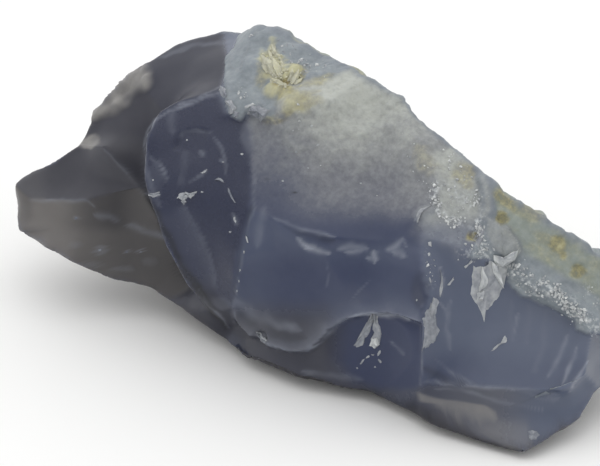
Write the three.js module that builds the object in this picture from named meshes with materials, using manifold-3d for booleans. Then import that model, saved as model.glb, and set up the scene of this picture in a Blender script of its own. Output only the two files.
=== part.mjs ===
// A rough piece of blue lace agate: one broken stone with a pale crust on its upper side and a small
// pocket of quartz crystals in that crust. Millimetres, +Z up, the stone resting on its flat spot.
//
// The stone is set out as a cage of corners joined into facets, one for each break in the stone. Rays
// sent out from a spine inside it find the facets, and each facet is drawn as a smooth patch that bows
// in or out between its edges. Crust, scars, ledges and lumps are then raised or sunk along the normal.
// The crystals are flat-faced solids joined to the stone, so that it is one body.
import * as THREE from "three";
import { mergeVertices } from "three/addons/utils/BufferGeometryUtils.js";
import Module from "manifold-3d";

// Sizes that a user may change, in millimetres.
const stoneScale = 1; // 1 gives a stone about 100 mm long
const crustRise = 1.1; // how far the crust stands above the glassy stone at its ragged edge
const pocketDepth = 2.3; // of the crystal pocket below the crust
const rightCrustRise = 0.6; // the coarse crust at the right end
const scarDepth = 1.1; // the shell-shaped scar low on the front
const crestStep = 1.0; // the step below the crest over that scar
const wanderWide = 0.9; // how far the edges wander, over the length wanderWideCell
const wanderFine = 0.35;

const wanderWideCell = 11;
const wanderFineCell = 4.3;
const rowsAlong = 84; // rings of the mesh from the left tip to the right end
const pointsAround = 54;
const edgeCatch = 0.75; // points this near to an edge between two facets are drawn onto it
const frontShare = 0.72; // 0 spreads the points evenly round the stone, near 1 gathers them at the front

// The corners are set out square to the broken side: x along it, y away, z up. The whole is then turned
// by turnDegrees about the upright, which brings the stone's length onto X, and moved to its origin.
const turnDegrees = 28;
const toOrigin = [-1.92, -9, 0];
const corners = {
  // the skyline, from the left tip to the right end
  top: [
    [-43.75, 20.25, 17], [-33.75, 20, 24], [-32, 23.75, 28], [-25.75, 26.75, 33], [-18.5, 27.75, 37.5],
    [-11.5, 28.25, 40], [-5.75, 22.5, 42], [4.5, 14.25, 42], [9.75, 8.75, 41], [16, 5.5, 39.5],
    [21.75, -1.25, 35.5], [29, -8, 32.5], [36.75, -11.75, 27.5], [44.25, -13.5, 23.5], [50.5, -13, 16],
  ],
  // the foot of the front, from the right end to the left
  foot: [
    null, [50.25, -15.75, 9], [44.25, -23, 6], [41, -27.5, 3.5], [32.75, -33, 1.5], [25.75, -31, 1.5],
    [19, -25.25, 2], [14.75, -20, 2], [10, -16, 2.5], [0.25, -13.25, 3], [-8, -7.75, 3], [-11, -1.75, 3],
    [-18, 4.25, 4.5],
  ],
  // the lifted left end
  left: [
    null, [-22.75, 8.25, 5.5], [-29.25, 9.75, 6.5], [-34.5, 9.25, 9], [-41, 13.5, 10.5],
    [-43.25, 13.25, 11.5],
  ],
  tip: [null, [-41.25, 17.5, 15.5], [-32.25, 12.25, 18.5]],
  fold: [null, [-30, 15.5, 26], [-24.25, 12.25, 20.5], [-20.75, 9.25, 16]],
  // the rim of the glossy lobe, and the gully behind it
  lobe: [
    [-10.5, 6.5, 36.5], [-11.75, 11.25, 38], [-17.25, 9.75, 37], [-21.5, 8.5, 35.5], [-23.75, 6, 33.5],
    [-23.25, 3.25, 29], [-22.25, 0.25, 25], [-19.75, -1.25, 19], [-16.5, -1.25, 12], [-13.25, -0.5, 7.5],
    [-9.75, -1.75, 4.5],
  ],
  gully: [null, [-19, 12.5, 31], [-17.5, 13.5, 24], [-15.5, 11.5, 16], [-14.5, 9, 10], [-20.25, 6.5, 5]],
  strip: [null, [-16.5, -1.25, 25], [-13.75, -2.75, 19.5], [-12, -3.25, 12]],
  // the upright ridge between the lobe and the front
  ridge: [
    null, [-8, 6.75, 36], [-6.75, 2.25, 33], [-6.75, -1.5, 30], [-7, -4.5, 26.5], [-8.25, -6.25, 22],
    [-9.25, -7.25, 17], [-10, -4.25, 10],
  ],
  // the lower edge of the frosted side, then the upright edge right of the glassy front
  shelf: [null, [-2.75, -7.75, 26.5], [5.25, -12.25, 26], [13.25, -12.5, 25.5]],
  edge: [null, [18.5, -13.25, 26.5], [18.75, -21.5, 21], [18, -23.25, 13.5]],
  lip: [
    null, [18, -22.75, 7], [26.5, -27.25, 9.5], [33.75, -28.25, 9.5], [39, -28.75, 9], [42, -25.25, 10],
  ],
  crust: [null, [23.75, -15.5, 26], [30, -13.75, 22], [36.25, -16.25, 17.5], [42.5, -19.25, 14.5]],
  frost: [[4.5, 3.25, 41], [19.5, -8.25, 33]],
  // the flat spot that the stone rests on
  rest: [
    [-12, 10, 0], [-5, -2, 0], [5, -9, 0], [18, -16, 0], [30, -26, 0], [37, -20, 0], [36, -4, 0],
    [25, 9, 0], [9, 18, 0], [-6, 17, 0],
  ],
  // the unseen back, upper and lower row
  back: [
    [-42.5, 22, 11.5], [-31, 31, 19], [-18, 36, 27], [-1, 36, 28], [14, 27, 27], [31, 13, 17],
    [44, 1, 14],
  ],
  skirt: [[-28, 30, 9], [-14, 33, 12], [2, 33, 10], [20, 23, 10], [38, 7, 9], [49, -7, 8]],
};

// Each facet names its corners in order, then how far it bows out (+) or in (-) and over what width.
const facets = [
  ["top0 tip1 left4 left5 back0", 0, 5],
  ["top0 top1 fold1 fold2 tip2 tip1", -0.5, 6],
  ["top1 top2 top3 gully1 gully2 gully3 fold3 fold2 fold1", -0.8, 7],
  ["tip1 tip2 fold2 fold3 gully3 gully4 gully5 left1 left2 left3 left4", -0.9, 8],
  ["top3 top4 top5 lobe1 lobe2 lobe3 gully1", 0.5, 6],
  ["lobe3 lobe4 lobe5 gully2 gully1", -0.5, 3],
  ["lobe5 lobe6 lobe7 gully3 gully2", -0.6, 3],
  ["lobe7 lobe8 lobe9 foot12 gully5 gully4 gully3", -0.6, 3],
  [
    "lobe1 lobe2 lobe3 lobe4 lobe5 lobe6 strip1 strip2 strip3 ridge7 ridge6 ridge5 ridge4 ridge3 ridge2 " +
      "ridge1 lobe0",
    1.0,
    7,
  ],
  ["lobe6 lobe7 lobe8 lobe9 lobe10 ridge7 strip3 strip2 strip1", 0.35, 2.5],
  ["lobe9 lobe10 foot11 foot12", 0, 3],
  ["top5 top6 top7 top8 frost0 ridge1 lobe0 lobe1", 0.5, 5],
  ["ridge1 frost0 top8 top9 frost1 edge1 shelf3 shelf2 shelf1 ridge4 ridge3 ridge2", -0.5, 10],
  ["top9 top10 top11 crust2 crust1 edge1 frost1", 0.8, 6],
  ["top11 top12 top13 top14 foot1 crust4 crust3 crust2", 0.9, 6],
  [
    "ridge4 shelf1 shelf2 shelf3 edge1 edge2 edge3 lip1 foot8 foot9 foot10 lobe10 ridge7 ridge6 ridge5",
    0.5,
    9,
  ],
  ["lip1 foot7 foot8", 0, 3],
  ["lobe10 foot10 foot11", 0, 3],
  ["edge1 crust1 crust2 crust3 crust4 lip5 lip4 lip3 lip2 lip1 edge3 edge2", -0.9, 9],
  ["crust4 foot1 foot2 lip5", 0, 4],
  ["lip1 lip2 lip3 lip4 lip5 foot2 foot3 foot4 foot5 foot6 foot7", -0.4, 3],
  ["rest0 rest1 rest2 rest3 rest4 rest5 rest6 rest7 rest8 rest9", 0, 5],
  ["left1 gully5 foot12 foot11 rest1 rest0", 0, 5],
  ["foot11 foot10 foot9 rest2 rest1", 0, 5],
  ["foot9 foot8 foot7 foot6 rest3 rest2", 0, 5],
  ["foot6 foot5 foot4 rest4 rest3", 0, 5],
  ["foot4 foot3 foot2 rest5 rest4", 0, 5],
  ["foot2 foot1 skirt5 rest6 rest5", 0, 5],
  ["top14 top13 back6 skirt5 foot1", 0, 5],
  ["top13 top12 top11 back5 back6", -0.8, 7],
  ["back5 back6 skirt5 skirt4", 0, 5],
  ["top11 top10 top9 back4 back5", -1.5, 9],
  ["back4 back5 skirt4 skirt3", -1.0, 8],
  ["top9 top8 top7 back4", 0, 5],
  ["top7 top6 back3 back4", 1.0, 9],
  ["back3 back4 skirt3 skirt2", -1.5, 10],
  ["top6 top5 top4 back2 back3", -1.2, 9],
  ["back2 back3 skirt2 skirt1", 0.8, 8],
  ["top4 top3 top2 back1 back2", -1.2, 8],
  ["top2 top1 top0 back0 back1", -0.8, 6],
  ["back1 back2 skirt1 skirt0", -1.0, 8],
  ["back0 back1 skirt0 left5", 0, 5],
  ["left5 left4 left3 left2 skirt0", 0, 5],
  ["left2 left1 rest0 skirt0", 0, 5],
  ["skirt0 skirt1 rest9 rest0", 0, 5],
  ["skirt1 skirt2 rest8 rest9", 0, 5],
  ["skirt2 skirt3 rest7 rest8", 0, 5],
  ["skirt3 skirt4 rest6 rest7", 0, 5],
  ["skirt4 skirt5 rest6", 0, 5],
];
const spineStart = new THREE.Vector3(-27, 25, 17);
const spineEnd = new THREE.Vector3(38, -8, 13);

// The reliefs of the broken side are drawn on a flat sheet, x to the right and y up, that stands before
// it tipped back by sheetTilt. They are thrown on the stone along lines that meet throwLength out.
const sheetTilt = THREE.MathUtils.degToRad(30);
const throwLength = 900;
const sheetHeight = 20; // of the sheet's middle above the rest
const crustOutline = [
  [-8.5, 30.3], [-10.8, 27.4], [-12, 24.8], [-12.2, 22.3], [-11.7, 20.2], [-11.1, 18.4], [-10, 17.2],
  [-9, 17.1], [-7.6, 18], [-6.6, 17.2], [-5.6, 16.5], [-4.5, 17.1], [-3.3, 16.6], [-1.2, 18], [0.6, 17.4],
  [2.7, 18.3], [6, 18.8], [9.8, 18.2], [14.2, 18.8], [18, 21.4], [4.5, 32], [-6, 33.4],
];
const rightCrustOutline = [
  [16.8, 0.2], [17.6, 2.8], [19.2, 4.2], [21, 5.6], [21.9, 9.2], [20.7, 12.4], [19.5, 16.2], [25.5, 17],
  [39, 6.4], [51, 0.4], [51, -16.8], [45, -15.4], [43.2, -14.7], [41.6, -13.8], [40.2, -12.4],
  [38.4, -11.4], [36.8, -10.6], [34.8, -10], [33, -9.9], [31.6, -8.2], [30.4, -5.6], [28.8, -4.4],
  [26.7, -3.8], [24.9, -2.7], [23.2, -3], [21, -1.6], [18.8, -1.2],
];
const flakeOutline = [
  [25.8, -4], [25.2, -8.5], [25, -10], [26.8, -12.3], [27.6, -14], [27.3, -11.8], [28.5, -11.8],
  [30, -10], [31.5, -7.8], [32, -4],
];
const chipOutline = [
  [19.5, -10.4], [18.2, -12.4], [18.6, -13.8], [18.2, -18.3], [19.8, -17.2], [21, -15.3], [20.6, -13],
  [20.4, -10.8],
];
const shardOutline = [
  [10.8, -12.4], [9.9, -14.6], [8.1, -17.8], [9.3, -17.6], [10.5, -16.5], [10.8, -17.8], [12, -17.6],
  [12.4, -16], [11.8, -13.8], [11.7, -12.6],
];
const crestLine = [
  [-10.2, -12.4], [-7.8, -15.2], [-4.8, -16.8], [-1.5, -17.7], [1.2, -17.6], [2.7, -16.3], [4.2, -14.4],
  [6.8, -12.8], [9.8, -12.2], [12.8, -11.8], [15.3, -12.3], [18.2, -13.4],
];
const frostLedge = [
  [6.4, 14.1], [7.5, 14.6], [8.7, 14.2], [9.8, 14.7], [10.8, 14.4], [11.7, 15], [13.2, 15.2], [14.4, 15.6],
];
const smallLedge = [[-2.6, 14.2], [-1.8, 13.2], [0, 12.8], [1.2, 13]];
const bandLine = [[31.8, -4.6], [34.5, -6.6], [37.5, -8.7], [40.5, -10.6], [43.5, -12.9], [46.2, -14.8]];
const paleRidge = [[27, 9.8], [28, 6.4], [28, 3.4], [27.2, 2.4]];
const lobeStep = [[-19.5, 12.4], [-18.6, 14.2], [-18, 15.3], [-16.8, 15.8], [-15, 15.9], [-13.2, 15.4]];
const lobeRidge = [[-12.6, 8.5], [-10.8, 7], [-9.6, 5.2]];
const lobeBumps = [[-14.7, 11.8, 0.6, 0.35], [-11.4, 10.7, 0.6, 0.35], [-17.1, 5.7, 1.3, 0.45]];
const pits = [
  [26, -0.5, 0.9, 0.5], [30.3, 2.2, 1.1, 0.6], [30.8, 5, 2, 0.7], [39, -2.1, 2, 0.9], [41.7, -5.7, 1.4, 0.7],
]; // x, y, radius and depth on the sheet
const paleLump = [30.5, -1, 2.8, 1.0];
const bite = [-6, -15.8, 1.3, 0.8];
const pocketCentre = [-2.6, 22.4];
const pocketRadii = [3.1, 4.1];
const scarCentre = [9.9, -17.9];
const scarRadius = 6.6;

// Crystals of the pocket: x and y on the sheet, length, radius, then the way each one points, across,
// up and out of the sheet, and its turn about itself.
const crystals = [
  [-2.7, 23.8, 4.6, 0.95, -0.55, 0.8, 0.55, 0.2],
  [-5.0, 25.4, 3.2, 0.8, -0.75, 0.45, 0.7, 0.9],
  [-0.6, 23.6, 2.8, 0.8, 0.85, 0.3, 0.7, 0.4],
  [-4.3, 21.2, 3.4, 1.25, -0.5, -0.35, 1, 0.1],
  [-1.3, 20.7, 3.6, 1.3, 0.45, -0.45, 1, 0.7],
  [-1.8, 18.6, 2.8, 1.0, 0.2, -0.8, 0.8, 0.3],
  [-5.6, 23.3, 2.6, 0.8, -0.9, 0.1, 0.8, 0.3],
  [0.3, 25.2, 2.4, 0.7, 0.6, 0.7, 0.8, 0.8],
  [-2.9, 26.6, 2.6, 0.8, 0.1, 0.9, 0.7, 0.5],
];
const crystalShoulder = 0.5; // the part of its length where a crystal starts to narrow
const crystalSides = 6;
const crystalRooted = 0.42; // the part of its length that is rooted in the stone

// A number from -1 to 1 for each point of a cubic lattice, always the same for the same point and seed.
function latticeNumber(i, j, k, seed) {
  let h = Math.imul(i, 73856093) ^ Math.imul(j, 19349663) ^ Math.imul(k, 83492791);
  h ^= Math.imul(seed, 0x9e3779b1);
  h ^= h >>> 15;
  h = Math.imul(h, 0x2c1b3c6d);
  h ^= h >>> 12;
  h = Math.imul(h, 0x297a2d39);
  h ^= h >>> 15;
  return (h >>> 0) / 2 ** 31 - 1;
}

// Smooth noise from -1 to 1: the lattice numbers of the cell around the point, eased between corners.
function noise(point, cell, seed) {
  const g = [point.x, point.y, point.z].map((value) => value / cell + 100.37);
  const base = g.map(Math.floor);
  const ease = g.map((value, axis) => THREE.MathUtils.smootherstep(value - base[axis], 0, 1));
  let sum = 0;
  for (let n = 0; n < 8; n++) {
    const step = [n & 1, (n >> 1) & 1, (n >> 2) & 1];
    const weight = step.reduce((w, s, axis) => w * (s ? ease[axis] : 1 - ease[axis]), 1);
    sum += weight * latticeNumber(base[0] + step[0], base[1] + step[1], base[2] + step[2], seed);
  }
  return sum;
}

// Rounded lumps: 1 less the distance to the nearest of one scattered point per cell, in cells.
function lumps(point, cell, seed) {
  const g = [point.x, point.y, point.z].map((value) => value / cell + 50.21);
  const base = g.map(Math.floor);
  let nearest = 9;
  for (let n = 0; n < 27; n++) {
    const at = [base[0] + (n % 3) - 1, base[1] + (Math.floor(n / 3) % 3) - 1, base[2] + Math.floor(n / 9) - 1];
    let square = 0;
    for (let axis = 0; axis < 3; axis++) {
      const scatter = 0.42 * latticeNumber(at[0], at[1], at[2], seed + axis);
      square += (g[axis] - at[axis] - 0.5 - scatter) ** 2;
    }
    nearest = Math.min(nearest, square);
  }
  return 1 - Math.sqrt(nearest);
}

const smooth = (from, to, value) => THREE.MathUtils.smoothstep(value, from, to);

// Where q lies beside a line: its distance, the nearest segment and how far along that, +1 on the left
// side or -1, and the part of the whole length passed.
function besideLine(q, line, closed = false) {
  const last = closed ? line.length : line.length - 1;
  const result = { distance: 1e9, segment: 0, part: 0, side: 0, along: 0 };
  let total = 0;
  for (let n = 0; n < last; n++) {
    const a = line[n];
    const b = line[(n + 1) % line.length];
    const run = [b[0] - a[0], b[1] - a[1]];
    const from = [q[0] - a[0], q[1] - a[1]];
    const square = run[0] ** 2 + run[1] ** 2;
    const part = THREE.MathUtils.clamp((from[0] * run[0] + from[1] * run[1]) / square, 0, 1);
    const distance = Math.hypot(from[0] - part * run[0], from[1] - part * run[1]);
    if (distance < result.distance) {
      result.distance = distance;
      result.segment = n;
      result.part = part;
      result.side = Math.sign(run[0] * from[1] - run[1] * from[0]);
      result.along = total + part * Math.sqrt(square);
    }
    total += Math.sqrt(square);
  }
  result.along /= total;
  return result;
}

// The distance from q to an outline, positive inside it.
function insideOutline(q, outline) {
  let inside = false;
  outline.forEach((a, n) => {
    const b = outline[(n + 1) % outline.length];
    const crosses = a[1] > q[1] !== b[1] > q[1];
    if (crosses && q[0] < a[0] + ((q[1] - a[1]) * (b[0] - a[0])) / (b[1] - a[1])) inside = !inside;
  });
  const { distance } = besideLine(q, outline, true);
  return inside ? distance : -distance;
}

const fromSheet = new THREE.Vector3(0, -Math.cos(sheetTilt), Math.sin(sheetTilt));
const sheetUp = new THREE.Vector3(0, Math.sin(sheetTilt), Math.cos(sheetTilt));
const sheetMiddle = new THREE.Vector3(0, 0, sheetHeight);

// The place on the sheet from which a point of the stone is marked.
function onSheet(point) {
  const from = point.clone().sub(sheetMiddle);
  const scale = throwLength / (throwLength - from.dot(fromSheet));
  return [from.x * scale, from.dot(sheetUp) * scale];
}

function cornerAt(name) {
  const [, line, index] = name.match(/^([a-z]+)(\d+)$/);
  return new THREE.Vector3(...corners[line][Number(index)]);
}

// A facet's corners, centre, outward normal, and its corners' places and heights on its mean plane.
function makeFacet([names, bow, width]) {
  let points = names.split(" ").map(cornerAt);
  const centre = points.reduce((sum, p) => sum.add(p), new THREE.Vector3()).divideScalar(points.length);
  const normal = new THREE.Vector3();
  points.forEach((p, n) => {
    const next = points[(n + 1) % points.length];
    normal.add(p.clone().sub(centre).cross(next.clone().sub(centre)));
  });
  normal.normalize();
  const nearest = new THREE.Line3(spineStart, spineEnd).closestPointToPoint(centre, true, new THREE.Vector3());
  if (normal.dot(centre.clone().sub(nearest)) < 0) {
    points = points.reverse();
    normal.negate();
  }
  const run = points[1].clone().sub(points[0]);
  const right = run.addScaledVector(normal, -run.dot(normal)).normalize();
  const ahead = normal.clone().cross(right);
  const outline = points.map((p) => {
    const from = p.clone().sub(centre);
    return [from.dot(right), from.dot(ahead)];
  });
  const heights = points.map((p) => p.clone().sub(centre).dot(normal));
  return { points, centre, normal, right, ahead, outline, heights, bow, width };
}

// The height of a facet above its mean plane at q: its corners' heights, weighted by mean value
// coordinates so that it runs straight along each edge.
function heightInFacet(facet, q) {
  const { outline, heights } = facet;
  const count = outline.length;
  const to = outline.map((corner) => [corner[0] - q[0], corner[1] - q[1]]);
  const reach = to.map((s) => Math.hypot(s[0], s[1]) + 1e-9);
  const half = to.map((s, n) => {
    const m = (n + 1) % count;
    const cross = s[0] * to[m][1] - s[1] * to[m][0];
    const dot = s[0] * to[m][0] + s[1] * to[m][1];
    return cross / (reach[n] * reach[m] + dot + 1e-9);
  });
  const weights = half.map((h, n) => (h + half[(n + count - 1) % count]) / reach[n]);
  const total = weights.reduce((sum, w) => sum + w, 0);
  return weights.reduce((sum, w, n) => sum + w * heights[n], 0) / total;
}

// The point where a ray from the spine leaves the stone, on the smooth patch of the facet that it meets.
function surfacePoint(ray, patches) {
  let far = 0;
  let hit = null;
  const target = new THREE.Vector3();
  for (const patch of patches) {
    patch.points.forEach((p, n) => {
      const next = patch.points[(n + 1) % patch.points.length];
      if (!ray.intersectTriangle(patch.centre, p, next, false, target)) return;
      const distance = target.distanceTo(ray.origin);
      if (distance > far) {
        far = distance;
        hit = patch;
      }
    });
  }
  const from = ray.at(far, new THREE.Vector3()).sub(hit.centre);
  const q = [from.dot(hit.right), from.dot(hit.ahead)];
  const { distance, segment, part } = besideLine(q, hit.outline, true);
  if (distance < edgeCatch) {
    const next = hit.points[(segment + 1) % hit.points.length];
    return hit.points[segment].clone().lerp(next, part);
  }
  const bowed = hit.bow * (1 - (1 - Math.min(1, distance / hit.width)) ** 2);
  return hit.centre
    .clone()
    .addScaledVector(hit.right, q[0])
    .addScaledVector(hit.ahead, q[1])
    .addScaledVector(hit.normal, heightInFacet(hit, q) + bowed);
}

// Angles spread so that equal steps of the result are equal steps of the running total of weight(angle).
function spreadAngles(count, whole, weight) {
  const steps = 2000;
  const totals = [0];
  for (let n = 0; n < steps; n++) totals.push(totals[n] + weight(((n + 0.5) / steps) * whole));
  const angles = [];
  let n = 0;
  for (let m = 0; m <= count; m++) {
    const wanted = (m / count) * totals[steps];
    while (n < steps - 1 && totals[n + 1] < wanted) n++;
    const part = (wanted - totals[n]) / (totals[n + 1] - totals[n]);
    angles.push(((n + THREE.MathUtils.clamp(part, 0, 1)) / steps) * whole);
  }
  return angles;
}

// Rings of points on the bare facets. Ring 0 and the last ring are the two ends, each one point repeated.
function bareRings() {
  const patches = facets.map(makeFacet);
  const spine = spineEnd.clone().sub(spineStart);
  const axis = spine.clone().normalize();
  const up = new THREE.Vector3(0, 0, 1).addScaledVector(axis, -axis.z).normalize();
  const side = up.clone().cross(axis);
  const halfLength = spine.length() / 2 + 22;
  const halfWidth = 24;
  const tilts = spreadAngles(rowsAlong, Math.PI, (a) =>
    Math.hypot(halfLength * Math.sin(a), halfWidth * Math.cos(a)),
  );
  const front = Math.atan2(fromSheet.dot(side), fromSheet.dot(up));
  const turns = spreadAngles(pointsAround, 2 * Math.PI, (a) => 1 + frontShare * Math.cos(a - front));
  return tilts.map((tilt) =>
    turns.slice(0, pointsAround).map((turn) => {
      const direction = axis.clone().multiplyScalar(-Math.cos(tilt));
      direction.addScaledVector(up, Math.sin(tilt) * Math.cos(turn));
      direction.addScaledVector(side, Math.sin(tilt) * Math.sin(turn));
      const origin = spineStart.clone().addScaledVector(spine, (1 - Math.cos(tilt)) / 2);
      return surfacePoint(new THREE.Ray(origin, direction.normalize()), patches);
    }),
  );
}

// A normal for each point, from its neighbours along and around the rings, facing out of the stone.
function ringNormals(rings) {
  return rings.map((ring, row) =>
    ring.map((point, n) => {
      const before = rings[Math.max(row - 1, 0)][n];
      const after = rings[Math.min(row + 1, rings.length - 1)][n];
      const along = after.clone().sub(before);
      const around = ring[(n + 1) % ring.length].clone().sub(ring[(n + ring.length - 1) % ring.length]);
      return along.cross(around).normalize();
    }),
  );
}

// How far the crust's two parts, and what lies in them, rise above the broken stone.
function crustRelief(point, q, facing) {
  const ragged = noise(point, 1.7, 11);
  const rolling = noise(point, 3.1, 12);
  const crusted = smooth(-0.3, 0.7, insideOutline(q, crustOutline) + 0.45 * ragged);
  const fade = 1 - 0.75 * smooth(-3.3, 3.75, q[0]);
  let height = facing * crusted * fade * crustRise;
  const reach = Math.hypot(
    (q[0] - pocketCentre[0]) / pocketRadii[0],
    (q[1] - pocketCentre[1]) / pocketRadii[1],
  );
  height -= facing * pocketDepth * (1 - smooth(0.5, 1.05, reach + 0.16 * ragged));
  const frosted = facing * smooth(-9.6, -5.7, q[0]) * smooth(-2.5, 3.5, q[1]) * (1 - smooth(18, 22.5, q[0]));
  const lumpy = 0.35 * (lumps(point, 2.6, 21) - 0.4) + 0.35 * rolling;
  height += frosted * lumpy * (0.35 + 0.65 * smooth(4, 13, q[1]));
  for (const [line, rise] of [[frostLedge, 0.6], [smallLedge, 0.45]]) {
    const { distance, side, along } = besideLine(q, line);
    const ends = smooth(0, 0.12, along) * (1 - smooth(0.88, 1, along));
    if (side > 0) height += facing * ends * rise * Math.exp(-distance / 1.8);
  }
  const coarse = facing * smooth(-0.3, 0.7, insideOutline(q, rightCrustOutline) + 0.5 * ragged);
  height += coarse * (rightCrustRise + 0.55 * (lumps(point, 3.4, 31) - 0.4) + 0.25 * ragged);
  const [lumpX, lumpY, lumpRadius, lumpRise] = paleLump;
  const lump = Math.hypot(q[0] - lumpX, q[1] - lumpY) / lumpRadius;
  height += coarse * lumpRise * (1 - smooth(0.3, 1.1, lump));
  const band = besideLine(q, bandLine);
  height += facing * (1 - smooth(0.2, 2.4, band.distance)) * smooth(0, 0.08, band.along);
  height += facing * 0.6 * (1 - smooth(0.1, 1.1, besideLine(q, paleRidge).distance));
  for (const [x, y, radius, depth] of pits) {
    height -= facing * depth * (1 - smooth(0.4, 1.1, Math.hypot(q[0] - x, q[1] - y) / radius));
  }
  return height;
}

// Scars, flakes and steps of the glassy sides below the crust.
function glassRelief(point, q, facing) {
  let height = 0;
  for (const [outline, rise] of [[flakeOutline, 0.9], [chipOutline, 0.7], [shardOutline, 0.6]]) {
    height += facing * rise * smooth(-0.2, 0.6, insideOutline(q, outline));
  }
  const glassy = facing * smooth(-10.5, -9, q[0]) * (1 - smooth(17.7, 18.6, q[0]));
  const crest = besideLine(q, crestLine);
  if (crest.side < 0) {
    const fall = smooth(0, 0.7, crest.distance) * Math.exp(-Math.max(crest.distance - 0.7, 0) / 6);
    const reach = Math.hypot(q[0] - scarCentre[0], (q[1] - scarCentre[1]) / 0.85) / scarRadius;
    height -= glassy * (crestStep * fall + scarDepth * Math.max(1 - reach ** 2, 0));
  } else {
    height += glassy * 0.35 * Math.exp(-((crest.distance / 1.3) ** 2));
  }
  const onLobe = facing * (1 - smooth(-9, -7.5, q[0])) * smooth(-24, -22.5, q[0]);
  const step = besideLine(q, lobeStep);
  if (step.side < 0) {
    const ends = smooth(0, 0.15, step.along) * (1 - smooth(0.85, 1, step.along));
    height -= onLobe * 0.5 * smooth(0, 0.5, step.distance) * Math.exp(-step.distance / 3) * ends;
  }
  height += onLobe * 0.4 * Math.exp(-((besideLine(q, lobeRidge).distance / 0.6) ** 2));
  for (const [x, y, radius, rise] of lobeBumps) {
    height += onLobe * rise * (1 - smooth(0.2, 1.1, Math.hypot(q[0] - x, q[1] - y) / radius));
  }
  const [biteX, biteY, biteRadius, biteDepth] = bite;
  const biteReach = Math.hypot(q[0] - biteX, q[1] - biteY) / biteRadius;
  height -= facing * biteDepth * (1 - smooth(0.5, 1, biteReach));
  return height;
}

// The rings of the finished surface: edges wander by a smooth noise, then the reliefs are raised. What
// lies on the flat spot stays in its plane.
function finishedRings() {
  const bare = bareRings();
  const free = bare.map((ring) => ring.map((p) => smooth(0.3, 3, p.z)));
  const wandering = bare.map((ring, row) =>
    ring.map((p, n) => {
      const shift = [1, 2, 3].map(
        (seed) =>
          wanderWide * noise(p, wanderWideCell, seed) + wanderFine * noise(p, wanderFineCell, seed + 3),
      );
      return p.clone().addScaledVector(new THREE.Vector3(...shift), free[row][n]);
    }),
  );
  const normals = ringNormals(wandering);
  return wandering.map((ring, row) =>
    ring.map((p, n) => {
      const normal = normals[row][n];
      const q = onSheet(p);
      const facing = smooth(0, 0.25, normal.dot(fromSheet));
      let height = 0.22 * noise(p, 7, 51) + 0.1 * noise(p, 3.1, 12);
      if (facing > 0) height += crustRelief(p, q, facing) + glassRelief(p, q, facing);
      const raised = p.clone().addScaledVector(normal, height * free[row][n]);
      raised.z = bare[row][n].z < 0.05 ? 0 : Math.max(raised.z, 0);
      return raised;
    }),
  );
}

// The closed skin over the rings, with one point at each end.
function stoneGeometry(rings) {
  const positions = [];
  const index = [];
  const inner = rings.slice(1, -1);
  inner.forEach((ring) => ring.forEach((p) => positions.push(p.x, p.y, p.z)));
  const around = pointsAround;
  for (let row = 0; row < inner.length - 1; row++) {
    for (let n = 0; n < around; n++) {
      const a = row * around + n;
      const b = row * around + ((n + 1) % around);
      index.push(a, b + around, b, a, a + around, b + around);
    }
  }
  const start = positions.length / 3;
  for (const ring of [rings[0], rings[rings.length - 1]]) positions.push(ring[0].x, ring[0].y, ring[0].z);
  const lastRow = (inner.length - 1) * around;
  for (let n = 0; n < around; n++) {
    const next = (n + 1) % around;
    index.push(start, n, next, start + 1, lastRow + next, lastRow + n);
  }
  const geometry = new THREE.BufferGeometry();
  geometry.setAttribute("position", new THREE.Float32BufferAttribute(positions, 3));
  geometry.setIndex(index);
  return geometry;
}

// A quartz crystal: a six-sided column that narrows to a point, rooted in the stone where a line from
// the sheet at x, y meets it.
function crystalGeometry([x, y, length, radius, across, upward, outward, turn], stone) {
  const target = sheetMiddle.clone().addScaledVector(sheetUp, y);
  target.x += x;
  const out = sheetMiddle.clone().addScaledVector(fromSheet, throwLength);
  const caster = new THREE.Raycaster(out, target.sub(out).normalize());
  const root = caster.intersectObject(new THREE.Mesh(stone))[0].point;
  const way = fromSheet.clone().multiplyScalar(outward).addScaledVector(sheetUp, upward);
  way.x += across;
  way.normalize();
  const start = -length * crystalRooted;
  const profile = [
    new THREE.Vector2(0, start),
    new THREE.Vector2(radius * 0.85, start),
    new THREE.Vector2(radius, start + length * crystalShoulder),
    new THREE.Vector2(0, start + length),
  ];
  const geometry = new THREE.LatheGeometry(profile, crystalSides);
  geometry.rotateY(turn);
  geometry.applyQuaternion(new THREE.Quaternion().setFromUnitVectors(new THREE.Vector3(0, 1, 0), way));
  geometry.translate(root.x, root.y, root.z);
  return geometry;
}

// A closed manifold-3d solid from a three.js geometry, its doubled points merged.
function solidOf(wasm, geometry) {
  const bare = new THREE.BufferGeometry();
  bare.setAttribute("position", geometry.getAttribute("position"));
  bare.setIndex(geometry.index);
  const merged = mergeVertices(bare, 1e-4);
  const mesh = new wasm.Mesh({
    numProp: 3,
    vertProperties: new Float32Array(merged.attributes.position.array),
    triVerts: new Uint32Array(merged.index.array),
  });
  return new wasm.Manifold(mesh);
}

function geometryOf(solid) {
  const mesh = solid.getMesh();
  const geometry = new THREE.BufferGeometry();
  geometry.setAttribute("position", new THREE.BufferAttribute(mesh.vertProperties, 3));
  geometry.setIndex(new THREE.BufferAttribute(mesh.triVerts, 1));
  return geometry;
}

// The stone with its crystals, turned and moved to its origin.
async function makeStone() {
  const wasm = await Module();
  wasm.setup();
  const skin = stoneGeometry(finishedRings());
  let solid = solidOf(wasm, skin);
  for (const crystal of crystals) solid = solid.add(solidOf(wasm, crystalGeometry(crystal, skin)));
  const geometry = geometryOf(solid);
  geometry.rotateZ(THREE.MathUtils.degToRad(turnDegrees));
  geometry.translate(...toOrigin);
  geometry.scale(stoneScale, stoneScale, stoneScale);
  geometry.computeVertexNormals();
  return geometry;
}

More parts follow.
